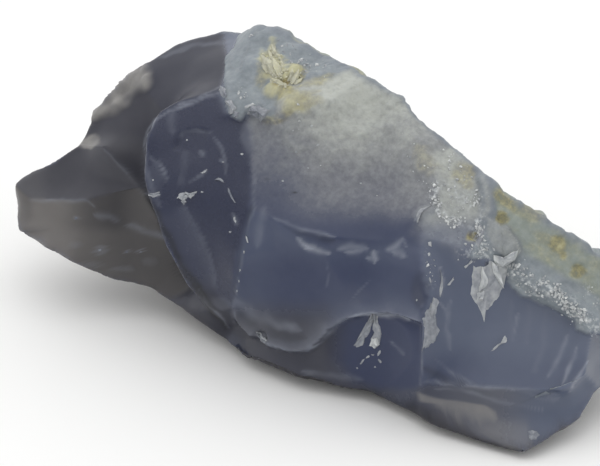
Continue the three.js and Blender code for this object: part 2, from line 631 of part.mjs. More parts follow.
const chalcedony = new THREE.MeshStandardMaterial({ color: "#6a7080", roughness: 0.35, metalness: 0 });
const agate = new THREE.Mesh(await makeStone(), chalcedony);
agate.name = "blue_lace_agate";

const group = new THREE.Group();
group.add(agate);
export default group;
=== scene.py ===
import bpy
import math
import numpy as np
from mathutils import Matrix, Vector
from types import SimpleNamespace


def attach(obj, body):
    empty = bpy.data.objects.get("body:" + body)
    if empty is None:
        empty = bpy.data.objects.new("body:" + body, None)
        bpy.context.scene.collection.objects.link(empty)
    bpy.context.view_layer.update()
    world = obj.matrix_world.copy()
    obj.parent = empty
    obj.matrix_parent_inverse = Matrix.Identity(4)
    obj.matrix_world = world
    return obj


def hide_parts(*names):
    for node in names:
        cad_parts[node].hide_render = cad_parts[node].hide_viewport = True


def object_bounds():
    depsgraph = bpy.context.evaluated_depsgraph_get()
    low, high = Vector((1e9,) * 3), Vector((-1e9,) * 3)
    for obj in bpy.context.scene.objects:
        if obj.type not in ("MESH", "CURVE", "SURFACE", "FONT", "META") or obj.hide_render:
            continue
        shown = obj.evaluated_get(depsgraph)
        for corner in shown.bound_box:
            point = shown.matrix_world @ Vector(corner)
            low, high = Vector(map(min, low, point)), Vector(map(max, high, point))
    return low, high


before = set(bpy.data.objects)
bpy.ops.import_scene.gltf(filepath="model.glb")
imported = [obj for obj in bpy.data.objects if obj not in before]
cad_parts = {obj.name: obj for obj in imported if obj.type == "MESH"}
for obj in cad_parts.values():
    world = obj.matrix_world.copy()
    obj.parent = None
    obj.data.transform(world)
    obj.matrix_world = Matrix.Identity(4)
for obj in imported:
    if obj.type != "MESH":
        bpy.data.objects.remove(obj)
cadLow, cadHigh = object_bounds()
print("frame loaded")

mm = 0.001  # metres in a millimetre


# A colour written as sRGB hex, turned to the linear values that the shader takes.
def linear(hexCode):
    parts = [int(hexCode[n:n + 2], 16) / 255 for n in (1, 3, 5)]
    return tuple(c / 12.92 if c <= 0.04045 else ((c + 0.055) / 1.055) ** 2.4 for c in parts) + (1.0,)


# Rows of numbers from text, with a comma between rows.
def rowsOf(text):
    return np.array([row.split() for row in text.split(",")], float)


# Lines, outlines and places are drawn on a sheet, which is the photograph's frame of 600 by 466 pixels. One
# step of its grid is one pixel, read and counted right and up from pixel 300, 233.
sheetStep = 0.15  # mm


# Points in mm from text that gives them in whole steps of the sheet's grid.
def onGrid(text):
    return (rowsOf(text) * sheetStep).round(2)


# The stone's shape, square to its broken side: x along the stone, y away from that side, z up from the rest.

# corners of the breaks, in mm; those on the photographed side were worked out beforehand from pixels read off
# and a height chosen for each, and rounded to 0.25 mm
corners = {
    "top": "-43.75 20.25 17, -33.75 20 24, -32 23.75 28, -25.75 26.75 33, -18.5 27.75 37.5, "
        "-11.5 28.25 40, -5.75 22.5 42, 4.5 14.25 42, 9.75 8.75 41, 16 5.5 39.5, 21.75 -1.25 35.5, "
        "29 -8 32.5, 36.75 -11.75 27.5, 44.25 -13.5 23.5, 50.5 -13 16",
    "foot": "50.25 -15.75 9, 44.25 -23 6, 41 -27.5 3.5, 32.75 -33 1.5, 25.75 -31 1.5, 19 -25.25 2, "
        "14.75 -20 2, 10 -16 2.5, 0.25 -13.25 3, -8 -7.75 3, -11 -1.75 3, -18 4.25 4.5",
    "left": "-22.75 8.25 5.5, -29.25 9.75 6.5, -34.5 9.25 9, -41 13.5 10.5, -43.25 13.25 11.5",
    "tip": "-41.25 17.5 15.5, -32.25 12.25 18.5",
    "fold": "-30 15.5 26, -24.25 12.25 20.5, -20.75 9.25 16",
    "lobe": "-10.5 6.5 36.5, -11.75 11.25 38, -17.25 9.75 37, -21.5 8.5 35.5, -23.75 6 33.5, "
        "-23.25 3.25 29, -22.25 0.25 25, -19.75 -1.25 19, -16.5 -1.25 12, -13.25 -0.5 7.5, "
        "-9.75 -1.75 4.5",
    "gully": "-19 12.5 31, -17.5 13.5 24, -15.5 11.5 16, -14.5 9 10, -20.25 6.5 5",
    "strip": "-16.5 -1.25 25, -13.75 -2.75 19.5, -12 -3.25 12",
    "ridge": "-8 6.75 36, -6.75 2.25 33, -6.75 -1.5 30, -7 -4.5 26.5, -8.25 -6.25 22, "
        "-9.25 -7.25 17, -10 -4.25 10",
    "shelf": "-2.75 -7.75 26.5, 5.25 -12.25 26, 13.25 -12.5 25.5",
    "edge": "18.5 -13.25 26.5, 18.75 -21.5 21, 18 -23.25 13.5",
    "lip": "18 -22.75 7, 26.5 -27.25 9.5, 33.75 -28.25 9.5, 39 -28.75 9, 42 -25.25 10",
    "crust": "23.75 -15.5 26, 30 -13.75 22, 36.25 -16.25 17.5, 42.5 -19.25 14.5",
    "frost": "4.5 3.25 41, 19.5 -8.25 33",
    "rest": "-12 10 0, -5 -2 0, 5 -9 0, 18 -16 0, 30 -26 0, 37 -20 0, 36 -4 0, 25 9 0, 9 18 0, "
        "-6 17 0",
    "back": "-42.5 22 11.5, -31 31 19, -18 36 27, -1 36 28, 14 27 27, 31 13 17, 44 1 14",
    "skirt": "-28 30 9, -14 33 12, 2 33 10, 20 23 10, 38 7 9, 49 -7 8",
}

# each break: its corners, its bow and how far from the edge it bows, both in mm, its tone from 0 light to
# 1 dark, and how dull it is from 0 glassy to 1 dull
breaks = {
    "tipEnd": ["top0 tip0 left3 left4 back0", 0, 4, 0.45, 1],
    "tip": ["top0 top1 fold0 fold1 tip1 tip0", -0.5, 6, 0.86, 0.8],
    "leftDark": ["top1 top2 top3 gully0 gully1 gully2 fold2 fold1 fold0", -0.8, 7, 0.96, 0.8],
    "lowerLeft": ["tip0 tip1 fold1 fold2 gully2 gully3 gully4 left0 left1 left2 left3", -0.9, 8, 0.18, 1],
    "topDark": ["top3 top4 top5 lobe1 lobe2 lobe3 gully0", 0.5, 6, 1, 0.7],
    "cliffTop": ["lobe3 lobe4 lobe5 gully1 gully0", -0.5, 3, 0.8, 0.7],
    "cliffMiddle": ["lobe5 lobe6 lobe7 gully2 gully1", -0.6, 3, 0.95, 0.7],
    "cliffLow": ["lobe7 lobe8 lobe9 foot11 gully4 gully3 gully2", -0.6, 3, 0.8, 0.7],
    "lobe": ["lobe1 lobe2 lobe3 lobe4 lobe5 lobe6 strip0 strip1 strip2 ridge6 ridge5 ridge4 ridge3 "
        "ridge2 ridge1 ridge0 lobe0", 1, 7, 1, 0.4],
    "lobeLow": ["lobe6 lobe7 lobe8 lobe9 lobe10 ridge6 strip2 strip1 strip0", 0.35, 2.5, 0.98, 0.35],
    "lobeFoot": ["lobe9 lobe10 foot10 foot11", 0, 3, 1, 0.8],
    "topCrust": ["top5 top6 top7 top8 frost0 ridge0 lobe0 lobe1", 0.5, 5, 0.35, 0],
    "frosted": [
        "ridge0 frost0 top8 top9 frost1 edge0 shelf2 shelf1 shelf0 ridge3 ridge2 ridge1", -0.5, 10, 0.93, 0,
    ],
    "rightCrust": ["top9 top10 top11 crust1 crust0 edge0 frost1", 0.3, 6, 0.35, 0],
    "rightSlope": ["top11 top12 top13 top14 foot0 crust3 crust2 crust1", 0.3, 6, 0.35, 0],
    "front": ["ridge3 shelf0 shelf1 shelf2 edge0 edge1 edge2 lip0 foot7 foot8 foot9 lobe10 ridge6 "
        "ridge5 ridge4", 0.5, 9, 0.7, 0],
    "frontFoot": ["lip0 foot6 foot7", 0, 3, 0.8, 0.4],
    "frontFootLeft": ["lobe10 foot9 foot10", 0, 3, 0.8, 0.4],
    "rightFace": ["edge0 crust0 crust1 crust2 crust3 lip4 lip3 lip2 lip1 lip0 edge2 edge1", -0.9, 9, 0.52, 0],
    "rightEnd": ["crust3 foot0 foot1 lip4", 0, 4, 0, 0.3],
    "band": ["lip0 lip1 lip2 lip3 lip4 foot1 foot2 foot3 foot4 foot5 foot6", -0.4, 3, 0.9, 0],
    "rest": ["rest0 rest1 rest2 rest3 rest4 rest5 rest6 rest7 rest8 rest9", 0, 5, 0.8, 0.8],
    "underLeft": ["left0 gully4 foot11 foot10 rest1 rest0", 0, 5, 0.95, 0.95],
    "underFront": ["foot10 foot9 foot8 rest2 rest1", 0, 5, 0.95, 0.95],
    "underMiddle": ["foot8 foot7 foot6 foot5 rest3 rest2", 0, 5, 1, 0.95],
    "underRight": ["foot5 foot4 foot3 rest4 rest3", 0, 5, 0.95, 0.95],
    "underRightLow": ["foot3 foot2 foot1 rest5 rest4", 0, 5, 0.7, 0.8],
    "underEnd": ["foot1 foot0 skirt5 rest6 rest5", 0, 5, 0.6, 0.8],
    "endBack": ["top14 top13 back6 skirt5 foot0", 0, 5, 0.4, 0.6],
    "backRight": ["top13 top12 top11 back5 back6", -0.8, 7, 0.5, 0.4],
    "backRightLow": ["back5 back6 skirt5 skirt4", 0, 5, 0.6, 0.6],
    "backRightMiddle": ["top11 top10 top9 back4 back5", -1.5, 9, 0.5, 0.3],
    "backMiddleLow": ["back4 back5 skirt4 skirt3", -1, 8, 0.7, 0.4],
    "backMiddle": ["top9 top8 top7 back4", 0, 5, 0.5, 0.3],
    "backCrest": ["top7 top6 back3 back4", 1, 9, 0.6, 0.3],
    "backLow": ["back3 back4 skirt3 skirt2", -1.5, 10, 0.8, 0.4],
    "backLeft": ["top6 top5 top4 back2 back3", -1.2, 9, 0.55, 0.5],
    "backLeftLow": ["back2 back3 skirt2 skirt1", 0.8, 8, 0.75, 0.6],
    "backLeftMiddle": ["top4 top3 top2 back1 back2", -1.2, 8, 0.65, 0.8],
    "backLeftEnd": ["top2 top1 top0 back0 back1", -0.8, 6, 0.55, 0.9],
    "backLeftFoot": ["back1 back2 skirt1 skirt0", -1, 8, 0.75, 0.8],
    "backTip": ["back0 back1 skirt0 left4", 0, 5, 0.6, 1],
    "underTip": ["left4 left3 left2 left1 skirt0", 0, 5, 0.6, 1],
    "underTipMiddle": ["left1 left0 rest0 skirt0", 0, 5, 0.8, 1],
    "underBackLeft": ["skirt0 skirt1 rest9 rest0", 0, 5, 0.8, 0.9],
    "underBack": ["skirt1 skirt2 rest8 rest9", 0, 5, 0.8, 0.8],
    "underBackMiddle": ["skirt2 skirt3 rest7 rest8", 0, 5, 0.8, 0.8],
    "underBackRight": ["skirt3 skirt4 rest6 rest7", 0, 5, 0.8, 0.8],
    "underBackEnd": ["skirt4 skirt5 rest6", 0, 5, 0.7, 0.8],
}
breakNumber = {name: number for number, name in enumerate(breaks)}

# how tone or dullness changes within a break: an amount, then where it eases in, on the sheet in mm
shades = [
    ["tone", "front", 0.25, ["y", 0.5, -6]],
    ["tone", "front", -0.06, ["y", -9, -16]],
    ["tone", "front", -0.08, ["x", 8.25, 15], ["y", 0, -4]],
    ["tone", "front", -0.08, ["x", -2.25, -7.5], ["y", 0, -4]],
    ["tone", "front", 0.02, ["y", -3, 0]],
    ["tone", "front", 0.2, ["x", -2.25, 4.5], ["y", -3, 0]],
    ["tone", "rightFace", 0.2, ["x", 30, 21], ["y", -14.55, -20.85]],
    ["tone", "rightFace", 0.12, ["y", -16.8, -20.85]],
    ["tone", "lobeLow", 0.1, ["y", -5.55, -10.8]],
    ["dull", "lobeLow", 0.4, ["y", -5.55, -10.8]],
    ["tone", "leftDark", -0.16, ["x", -21, -24.75], ["y", 15.75, 12.45]],
    ["tone", "tip", -0.25, ["x", -36, -40.5]],
    ["tone", "lowerLeft", 0.5, ["x", -39, -24.75]],
    ["tone", "lowerLeft", 0.25, ["y", -0.6, 1.65], ["x", -36, -31.5], ["x", -24.75, -27.75]],
    ["tone", "band", -0.4, ["x", 17.25, 30]],
    ["dull", "band", 0.5, ["x", 36.75, 28.5]],
]

stone = {
    "rows": 330,  # rings of points from the left end to the right
    "around": 300,  # points in a ring
    "frontShare": 0.62,  # how much closer the points lie on the broken side
    "spine": [[-27, 25, 17], [38, -8, 13]],  # the line inside the stone that the rings are thrown from
    "fanReach": [22, 24],  # how far the fan of rings reaches past the spine's ends and beside it
    "edgeCatch": 0.5,  # points this near to an edge between two breaks, in grid steps, are put on it
    "softening": 2,  # passes that round the edges
    "wornEnd": [-42, -37],  # where the rounder wear of the left end fades out
    "wander": [[11, 0.9, 1], [4.3, 0.14, 4]],  # cell, height and seed of the slow bending of every surface
    "turnDegrees": 28,
    "toOrigin": [-1.92, -9, 0],
    "sheetTilt": 30,  # degrees that the photograph looks down by
    "throwLength": 900,  # mm from the photograph's viewpoint to the middle of the sheet
    "sheetHeight": 20,  # mm that the middle of the sheet lies above the ground
    "crustRise": 0.7,
    "rightCrustRise": 0.55,
    "pocketDepth": 0.35,
    "scarDepth": 1.1,
    "crestStep": 1.0,
    # ripples of a glassy break: centre, spacing, how much they stray, rise, where they start and are full
    "frontRipples": [19.8, 4.2, 2.6, 0.8, 0.02, 4, 8],
    "rightRipples": [30, -10.65, 2.3, 0.5, 0.05, 7, 10],
    # how ragged each kind of mark is
    "streakWander": {"haze": 0.2, "deep": 0.15, "stain": 0.4, "wisp": 0.4},
    "spotWander": {"haze": 0.15, "deep": 0.1, "stain": 0.35},
}

# shapes on the broken side, in whole steps of the sheet's grid, x along and y up
outlines = {
    "crust": "-54 202, -67 183, -75 165, -76 149, -74 136, -71 124, -67 115, -60 114, -51 120, "
        "-44 115, -37 110, -30 114, -22 111, -8 120, 4 116, 18 122, 40 125, 65 121, 95 125, 120 143, "
        "30 213, -40 223",
    "blueCrust": "-57 213, -85 183, -95 149, -85 108, -67 108, -37 103, -28 111, -22 125, -18 137, "
        "-12 146, -3 150, 5 153, 30 155, 60 163, 80 213, -40 233",
    "underFoot": "180 -188, 200 -187, 214 -190, 226 -191, 230 -201, 236 -207, 228 -216, 208 -219, "
        "194 -213, 178 -204, 162 -197, 157 -189",
    "scar": "18 -110, 30 -95, 45 -84, 65 -79, 85 -78, 105 -83, 124 -89, 124 -161, 80 -161, 54 -153, "
        "38 -139, 26 -124",
    "star": "-38 181, -33 176, -30 183, -27 189, -24 181, -18 176, -13 167, -10 160, -6 164, 1 163, "
        "5 157, 0 153, -9 150, -13 144, -20 147, -30 149, -36 155, -34 162, -39 169",
    "shard": "184 19, 196 15, 208 6, 217 -5, 221 -17, 214 -28, 200 -25, 190 -17, 184 -3",
    "greyVeil": "112 1, 117 19, 128 28, 136 41, 130 61, 132 83, 150 93, 170 83, 184 53, 186 19, "
        "180 -7, 176 -29, 166 -19, 155 -21, 140 -12, 125 -9",
    "rightCrust": "170 -23, 174 -7, 178 11, 182 28, 180 48, 172 65, 168 83, 170 113, 260 43, 340 3, "
        "340 -112, 300 -103, 288 -102, 277 -96, 268 -88, 256 -81, 245 -75, 232 -69, 220 -66, 211 -55, "
        "203 -37, 192 -29, 178 -25",
    "palePatch": "-210 113, -204 133, -188 149, -170 164, -151 171, -146 161, -153 146, -166 136, "
        "-179 125, -192 118, -202 111",
    "underPatch": "118 -160, 140 -165, 160 -169, 185 -172, 195 -179, 198 -187, 185 -190, 165 -184, "
        "150 -181, 135 -172, 120 -167",
}
lines = {
    "crest": "-68 -83, -52 -101, -32 -112, -10 -118, 8 -117, 18 -109, 28 -96, 45 -85, 65 -81, "
        "85 -79, 102 -82, 121 -89",
    "bandTop": "170 28, 187 18, 205 -5, 220 -17, 245 -29, 265 -42, 290 -59, 340 -85",
    "bandLine": "212 -31, 230 -44, 250 -58, 270 -71, 290 -86, 308 -99",
    "paleRidge": "180 65, 187 43, 187 23, 181 16",
    "lobeFold": "-118 33, -109 15, -98 -5, -90 -22, -86 -40, -84 -61",
    "lobeStep": "-130 83, -124 95, -120 102, -112 105, -100 106, -88 103",
}
# low ledges in the frosted side: rise, then the line
ledges = [
    [0.45, "43 94, 50 97, 58 95, 65 98, 72 96, 78 100, 88 101, 96 104"],
    [0.5, "-17 95, -12 88, 0 85, 8 87"],
    [0.2, "102 83, 112 75, 120 62, 132 53"],
]
# pits in the crust on the right: place, radius and depth
pits = [
    [173, -3, 0.9, 0.5], [202, 15, 1.1, 0.6], [205, 33, 2, 0.7], [260, -14, 2, 0.9], [278, -38, 1.4, 0.7],
]

# lines on the broken side: the finish they carry, half width, strength, points, and a rise where there is one
streaks = [
    # the glossy lobe: a painted highlight along its rounded rim, a second pale line inside it, veils and
    # small ridges
    ["haze", 0.22, 0.75, "-69 143, -90 137, -108 130, -132 121, -144 112, -153 100, -156 88, -155 77"],
    ["haze", 0.5, 0.3, "-156 83, -153 63, -148 43, -141 26"],
    ["haze", 0.16, 0.6, "-68 149, -85 142, -104 134, -122 128, -137 119"],
    ["haze", 0.16, 0.45, "-71 138, -90 135, -110 132, -125 125"],
    ["haze", 0.7, 0.35, "-126 121, -129 111, -128 101"],
    ["haze", 0.3, 0.6, "-152 39, -146 39, -140 36"],
    ["haze", 0.3, 0.5, "-66 19, -63 7"],
    ["haze", 0.28, 0.6, "-142 71, -137 64, -132 53", 0.05],
    ["deep", 0.3, 0.8, "-126 -29, -114 -44, -104 -58, -95 -68"],
    ["deep", 0.3, 0.7, "-94 -70, -84 -85, -73 -98"],
    ["haze", 0.25, 0.4, "-103 -56, -92 -70, -82 -83, -72 -95"],
    ["haze", 0.25, 0.35, "-122 97, -116 102, -104 103, -88 100"],
    ["haze", 0.5, 0.2, "-114 83, -116 63, -120 47"],
    ["haze", 0.2, 0.35, "-114 47, -104 54, -94 63"],
    ["haze", 0.2, 0.4, "-81 72, -77 70, -73 73", 0.1],
    ["haze", 0.4, 0.4, "-101 82, -97 77"],
    ["haze", 0.25, 0.35, "-86 97, -78 83, -74 67, -74 55"],
    ["haze", 0.22, 0.3, "-150 77, -140 61, -132 49"],
    ["deep", 0.5, 0.8, "-154 38, -142 18, -130 -7, -118 -32, -100 -57, -85 -77"],
    # the upright ridge
    ["haze", 0.2, 0.35, "-51 111, -48 83, -45 56, -46 28, -51 8, -54 -5, -60 -37, -64 -57, -66 -92"],
    ["haze", 0.8, 0.35, "-36 25, -40 9, -43 -13"],
    ["deep", 0.35, 0.35, "-49 26, -54 1, -62 -35, -67 -67"],
    # the glossy front: ledge line, white streaks where the frosted side ends that are painted reflections off
    # a small ledge, and bands over the crest that are painted reflections
    ["haze", 0.35, 0.6, "-28 16, -16 11, 0 4, 18 -1, 34 -5"],
    ["deep", 0.5, 0.35, "-16 7, 0 0, 18 -5, 34 -9"],
    # painted reflections: white streaks along the small ledge where the frosted side ends
    ["haze", 0.55, 1, "-3 -5, 3 -10, 9 -14, 18 -17, 30 -20"],
    ["haze", 0.4, 0.9, "4 -15, 12 -13, 20 -16"],
    ["haze", 0.6, 1, "38 -16, 48 -13, 58 -15, 68 -16"],
    ["haze", 0.5, 0.9, "44 -19, 52 -19, 64 -18"],
    ["haze", 0.5, 0.8, "74 -17, 75 -29"],
    ["haze", 0.4, 0.5, "66 -25, 76 -25"],
    ["haze", 0.5, 0.7, "86 -18, 95 -13, 103 -5"],
    ["haze", 0.6, 0.7, "92 -18, 100 -19, 104 -23"],
    ["haze", 0.3, 0.6, "103 -5, 107 -15"],
    ["haze", 0.35, 0.4, "150 -67, 147 -97, 149 -117"],
    ["haze", 0.5, 0.1, "213 -67, 212 -107"],
    ["haze", 0.5, 0.1, "230 -72, 227 -112"],
    ["haze", 0.5, 0.12, "245 -77, 243 -112, 234 -139"],
    ["haze", 0.18, 0.25, "28 -25, 28 -57"],
    ["haze", 0.2, 0.22, "50 -67, 70 -47"],
    ["haze", 0.9, 0.4, "-65 -67, -45 -85, -25 -91, 0 -97"],
    ["deep", 0.9, 0.3, "-64 -77, -44 -95, -20 -103, 6 -105"],
    # painted reflections: pale bands along the crest of the scar
    ["haze", 0.22, 0.9, "-38 -108, -25 -116, -10 -119, 8 -118, 18 -110"],
    ["haze", 0.35, 0.6, "18 -110, 30 -96, 45 -86, 65 -81"],
    ["haze", 0.55, 1, "52 -84, 65 -82, 85 -81, 95 -83, 106 -88"],
    ["haze", 0.3, 0.4, "85 -112, 93 -117, 101 -123"],
    # the right face: its upright edge, chips' rims, curved ribs of the break
    ["haze", 0.2, 0.45, "124 -67, 121 -92, 121 -153"],
    ["haze", 0.25, 0.55, "138 -69, 146 -76, 146 -87"],
    ["haze", 0.25, 0.6, "140 -35, 142 -51, 140 -65"],
    ["haze", 0.3, 0.35, "137 -127, 155 -142, 175 -152"],
    ["haze", 0.25, 0.35, "219 -80, 213 -102"],
    ["haze", 0.3, 0.5, "125 -148, 155 -152, 180 -154, 230 -157, 260 -162"],
    # sugary grains
    ["haze", 0.3, 0.8, "116 11, 117 19, 122 25, 130 28", 0.1],
    # the foot and the underside
    ["haze", 0.3, 0.3, "136 -156, 160 -157, 182 -163, 205 -171, 225 -172, 245 -178"],
    ["haze", 0.25, 0.3, "170 -153, 195 -155, 220 -157, 240 -165, 258 -167"],
    ["deep", 0.8, 0.35, "124 -133, 134 -141, 148 -147, 164 -151"],
    ["haze", 0.28, 0.85, "271 -160, 275 -149, 282 -138, 288 -129"],
    ["haze", 0.3, 0.6, "263 -149, 269 -135, 277 -119, 278 -112"],
    ["haze", 0.38, 0.55, "247 -144, 257 -130, 263 -115, 267 -102"],
    ["haze", 0.3, 0.5, "245 -161, 253 -166, 260 -164"],
    ["deep", 0.9, 0.5, "62 -159, 90 -167, 112 -175, 140 -187"],
    ["haze", 0.4, 0.3, "0 -139, 30 -143, 60 -149"],
    # pale lines in the crust on top
    ["wisp", 0.25, 0.8, "-37 199, -48 188, -55 173, -57 155", 0.05],
    ["wisp", 0.3, 0.6, "-48 197, -60 183, -66 167, -67 149", 0.05],
    ["wisp", 0.35, 0.7, "-72 153, -71 138, -69 125", 0.1],
    ["wisp", 0.3, 0.7, "-62 133, -52 135, -42 130, -32 125", 0.1],
    ["wisp", 0.5, 0.5, "-60 117, -50 123, -38 117", 0.1],
    ["wisp", 0.2, 0.6, "-10 191, 10 179, 30 165", 0.03],
    ["stain", 0.45, 0.6, "-2 142, 8 148, 20 152, 34 155"],
    # wisps and low steps in the frosted side
    ["wisp", 0.5, 0.6, "-17 103, -14 91, -4 84, 10 85", 0.12],
    ["wisp", 0.6, 0.5, "-36 119, -26 110, -10 106, 5 100, 25 96, 45 95", 0.15],
    ["wisp", 0.4, 0.35, "50 95, 62 98, 75 94, 92 102", 0.1],
    ["wisp", 0.7, 0.4, "0 121, 18 127, 35 123, 52 129", 0.15],
    ["wisp", 0.4, 0.7, "80 135, 92 128, 102 121", 0.1],
    ["wisp", 0.6, 0.4, "18 141, 30 137, 45 140", 0.1],
    ["wisp", 0.3, 0.3, "30 81, 45 85, 62 82, 78 86", 0.06],
    ["wisp", 0.35, 0.6, "0 115, 9 110, 15 103", 0.06],
    ["wisp", 0.4, 0.5, "-28 83, -19 75, -16 65", 0.05],
    ["wisp", 0.3, 0.4, "92 109, 105 101, 113 91", 0.04],
    # the dull left end
    ["haze", 0.35, 0.3, "-140 173, -128 180, -115 185, -90 190, -68 192"],
    ["haze", 0.35, 0.35, "-270 32, -240 33, -212 32, -206 26"],
    ["haze", 0.5, 0.3, "-205 18, -192 16, -180 11"],
    ["haze", 0.6, 0.4, "-172 7, -155 2, -134 -5"],
    ["haze", 0.3, 0.2, "-197 85, -180 68, -160 43, -145 30"],
]

# ovals on the broken side: place, half width and height, turn in degrees, strength, and a rise for some
spots = {
    "haze": [
        [-144, 55, 1.2, 2.8, 0, 0.1], [-77, -70, 1.9, 1, -20, 0.2], [-224, 15, 0.6, 0.4, 0, 0.25],
        [-200, -17, 0.9, 0.7, 20, 0.35, 0.1], [-173, -19, 0.5, 0.3, 0, 0.3],
        [-159, -19, 0.6, 0.3, 0, 0.3], [-225, -12, 1.2, 0.6, 0, 0.12, 0.1],
        [-208, -31, 1.6, 0.5, -10, 0.15, 0.15], [-178, -36, 1.8, 0.5, 0, 0.15, 0.15],
        [-150, -29, 1.2, 0.8, 0, 0.12, 0.1], [-53, 98, 1, 2.6, 0, 0.3],
    ],
    "deep": [
        [187, -32, 0.4, 0.6, 30, 0.6], [-34, -105, 0.9, 0.5, -30, 0.3], [-32, 53, 0.25, 0.2, 0, 0.7],
        [-10, 52, 0.2, 0.2, 0, 0.7], [-5, 39, 0.5, 0.18, 0, 0.8], [120, -57, 1.4, 2.8, 0, 0.25],
    ],
    "stain": [
        [-14, 145, 1.6, 2.2, 20, 1], [-4, 131, 2.2, 1.5, 0, 0.55], [-2, 157, 1.3, 1.1, 0, 1],
        [-32, 170, 1, 1.2, 0, 0.6], [-7, 123, 1.1, 0.9, 0, 0.45], [-38, 155, 0.8, 1.6, 0, 0.5],
        [10, 133, 1.8, 1.2, 0, 0.45], [20, 152, 1.6, 0.6, 15, 0.6], [-24, 113, 1.8, 0.6, 0, 0.4],
        [165, 57, 1.7, 2, 0, 0.5], [173, -3, 0.9, 0.9, 0, 0.9], [202, 15, 1, 1.1, 0, 0.9],
        [205, 33, 2.4, 1.1, -35, 0.8], [228, 19, 2.4, 1, -30, 0.45], [260, -14, 1.3, 1.9, 30, 0.9],
        [278, -38, 1.4, 1.2, -30, 0.95], [242, -3, 1.6, 0.9, -30, 0.4], [125, 73, 2.6, 1.6, -40, 0.3],
    ],
}


# A number from -1 to 1 for each point of a cubic lattice, always the same for the same point and seed.
def latticeNumber(i, j, k, seed):
    def whole(a):
        return (a.astype(np.int64) & 0xFFFFFFFF).astype(np.uint32)

    h = whole(i) * np.uint32(73856093)
    h ^= whole(j) * np.uint32(19349663)
    h ^= whole(k) * np.uint32(83492791)
    h ^= np.uint32((seed * 2654435761) & 0xFFFFFFFF)
    h ^= h >> np.uint32(15)
    h *= np.uint32(0x2C1B3C6D)
    h ^= h >> np.uint32(12)
    h *= np.uint32(0x297A2D39)
    h ^= h >> np.uint32(15)
    return h.astype(float) / 2**31 - 1


# Smooth noise from -1 to 1: the lattice numbers of the cell around each point, eased between corners.
def noise(points, cell, seed):
    g = points / cell + 100.37
    base = np.floor(g)
    part = g - base
    base = base.astype(np.int64)
    ease = part**3 * (part * (part * 6 - 15) + 10)
    total = 0
    for n in range(8):
        step = np.array([n & 1, n >> 1 & 1, n >> 2 & 1])
        weight = np.prod(np.where(step, ease, 1 - ease), axis=-1)
        at = base + step
        total = total + weight * latticeNumber(at[..., 0], at[..., 1], at[..., 2], seed)
    return total


# Rounded lumps: 1 less the distance to the nearest of one scattered point per cell, in cells, less the part
# of them that is sunk.
def lumps(points, cell, seed, sunk=0.4):
    g = points / cell + 50.21
    base = np.floor(g).astype(np.int64)
    nearest = np.full(points.shape[:-1], 9.0)
    for n in range(27):
        at = base + np.array([n % 3 - 1, n // 3 % 3 - 1, n // 9 - 1])
        lattice = (at[..., 0], at[..., 1], at[..., 2])
        scatter = np.stack([latticeNumber(*lattice, seed + axis) for axis in range(3)], -1)
        nearest = np.minimum(nearest, ((g - at - 0.5 - 0.42 * scatter) ** 2).sum(-1))
    return 1 - np.sqrt(nearest) - sunk


# The part of the way from one value to another, from 0 to 1, eased at both ends.
def smooth(start, end, value):
    t = np.clip((value - start) / (end - start), 0, 1)
    return t * t * (3 - 2 * t)


# A bell: 1 in the middle, and e to the power of minus the square of the distance in widths.
def bell(distance, width):
    return np.exp(-((distance / width) ** 2))


# Where points lie beside a line: distance, nearest segment, how far along it, side (+1 on the left) and
# the part of the whole length passed. Each segment in turn gives the distance to its nearest point.
def besideLine(q, line, closed=False):
    a = line if closed else line[:-1]
    b = np.roll(line, -1, 0) if closed else line[1:]
    length = np.r_[0, np.cumsum(np.linalg.norm(b - a, axis=1))]
    best = np.full(q.shape[:-1], 1e9)
    segment = np.zeros(q.shape[:-1], int)
    part = np.zeros(q.shape[:-1])
    side = np.zeros(q.shape[:-1])
    for n in range(len(a)):
        run = b[n] - a[n]
        off = q - a[n]
        t = np.clip(off @ run / (run @ run), 0, 1)
        distance = np.linalg.norm(off - t[..., None] * run, axis=-1)
        nearer = distance < best
        best = np.where(nearer, distance, best)
        segment = np.where(nearer, n, segment)
        part = np.where(nearer, t, part)
        side = np.where(nearer, np.sign(run[0] * off[..., 1] - run[1] * off[..., 0]), side)
    along = (length[segment] + part * (length[segment + 1] - length[segment])) / length[-1]
    return SimpleNamespace(distance=best, segment=segment, part=part, side=side, along=along)


# The distance to a drawn outline, positive inside: a point is inside if a line from it crosses the outline
# an odd number of times.
def insideOutline(q, name):
    line = onGrid(outlines[name])
    distance = besideLine(q, line, True).distance
    inside = np.zeros(q.shape[:-1], bool)
    for a, b in zip(line, np.roll(line, -1, 0)):
        crosses = (a[1] > q[..., 1]) != (b[1] > q[..., 1])
        at = a[0] + (q[..., 1] - a[1]) * (b[0] - a[0]) / (b[1] - a[1] + 1e-12)
        inside ^= crosses & (q[..., 0] < at)
    return np.where(inside, distance, -distance)


tilt = math.radians(stone["sheetTilt"])
fromSheet = np.array([0, -math.cos(tilt), math.sin(tilt)])
sheetUp = np.array([0, math.sin(tilt), math.cos(tilt)])


# The place on the sheet of each point: thrown along lines that meet at the photograph's viewpoint, which is
# throwLength out from the sheet.
def onSheet(points):
    off = points - np.array([0, 0, stone["sheetHeight"]])
    scale = stone["throwLength"] / (stone["throwLength"] - off @ fromSheet)
    return np.stack([off[..., 0] * scale, off @ sheetUp * scale], -1)


# A break's mean plane: corners, centre, outward normal, and two directions on the plane.
def breakPlane(names):
    groups = [name.rstrip("0123456789") for name in names.split()]
    points = np.array([rowsOf(corners[group])[int(name[len(group):])]
        for group, name in zip(groups, names.split())])
    centre = points.mean(0)
    normal = np.cross(points - centre, np.roll(points, -1, 0) - centre).sum(0)
    normal /= np.linalg.norm(normal)
    start, end = np.array(stone["spine"], float)
    t = np.clip((centre - start) @ (end - start) / ((end - start) @ (end - start)), 0, 1)
    if normal @ (centre - start - t * (end - start)) < 0:
        points, normal = points[::-1], -normal
    right = points[1] - points[0]
    right = right - right @ normal * normal
    right /= np.linalg.norm(right)
    return points, centre, normal, right, np.cross(normal, right)


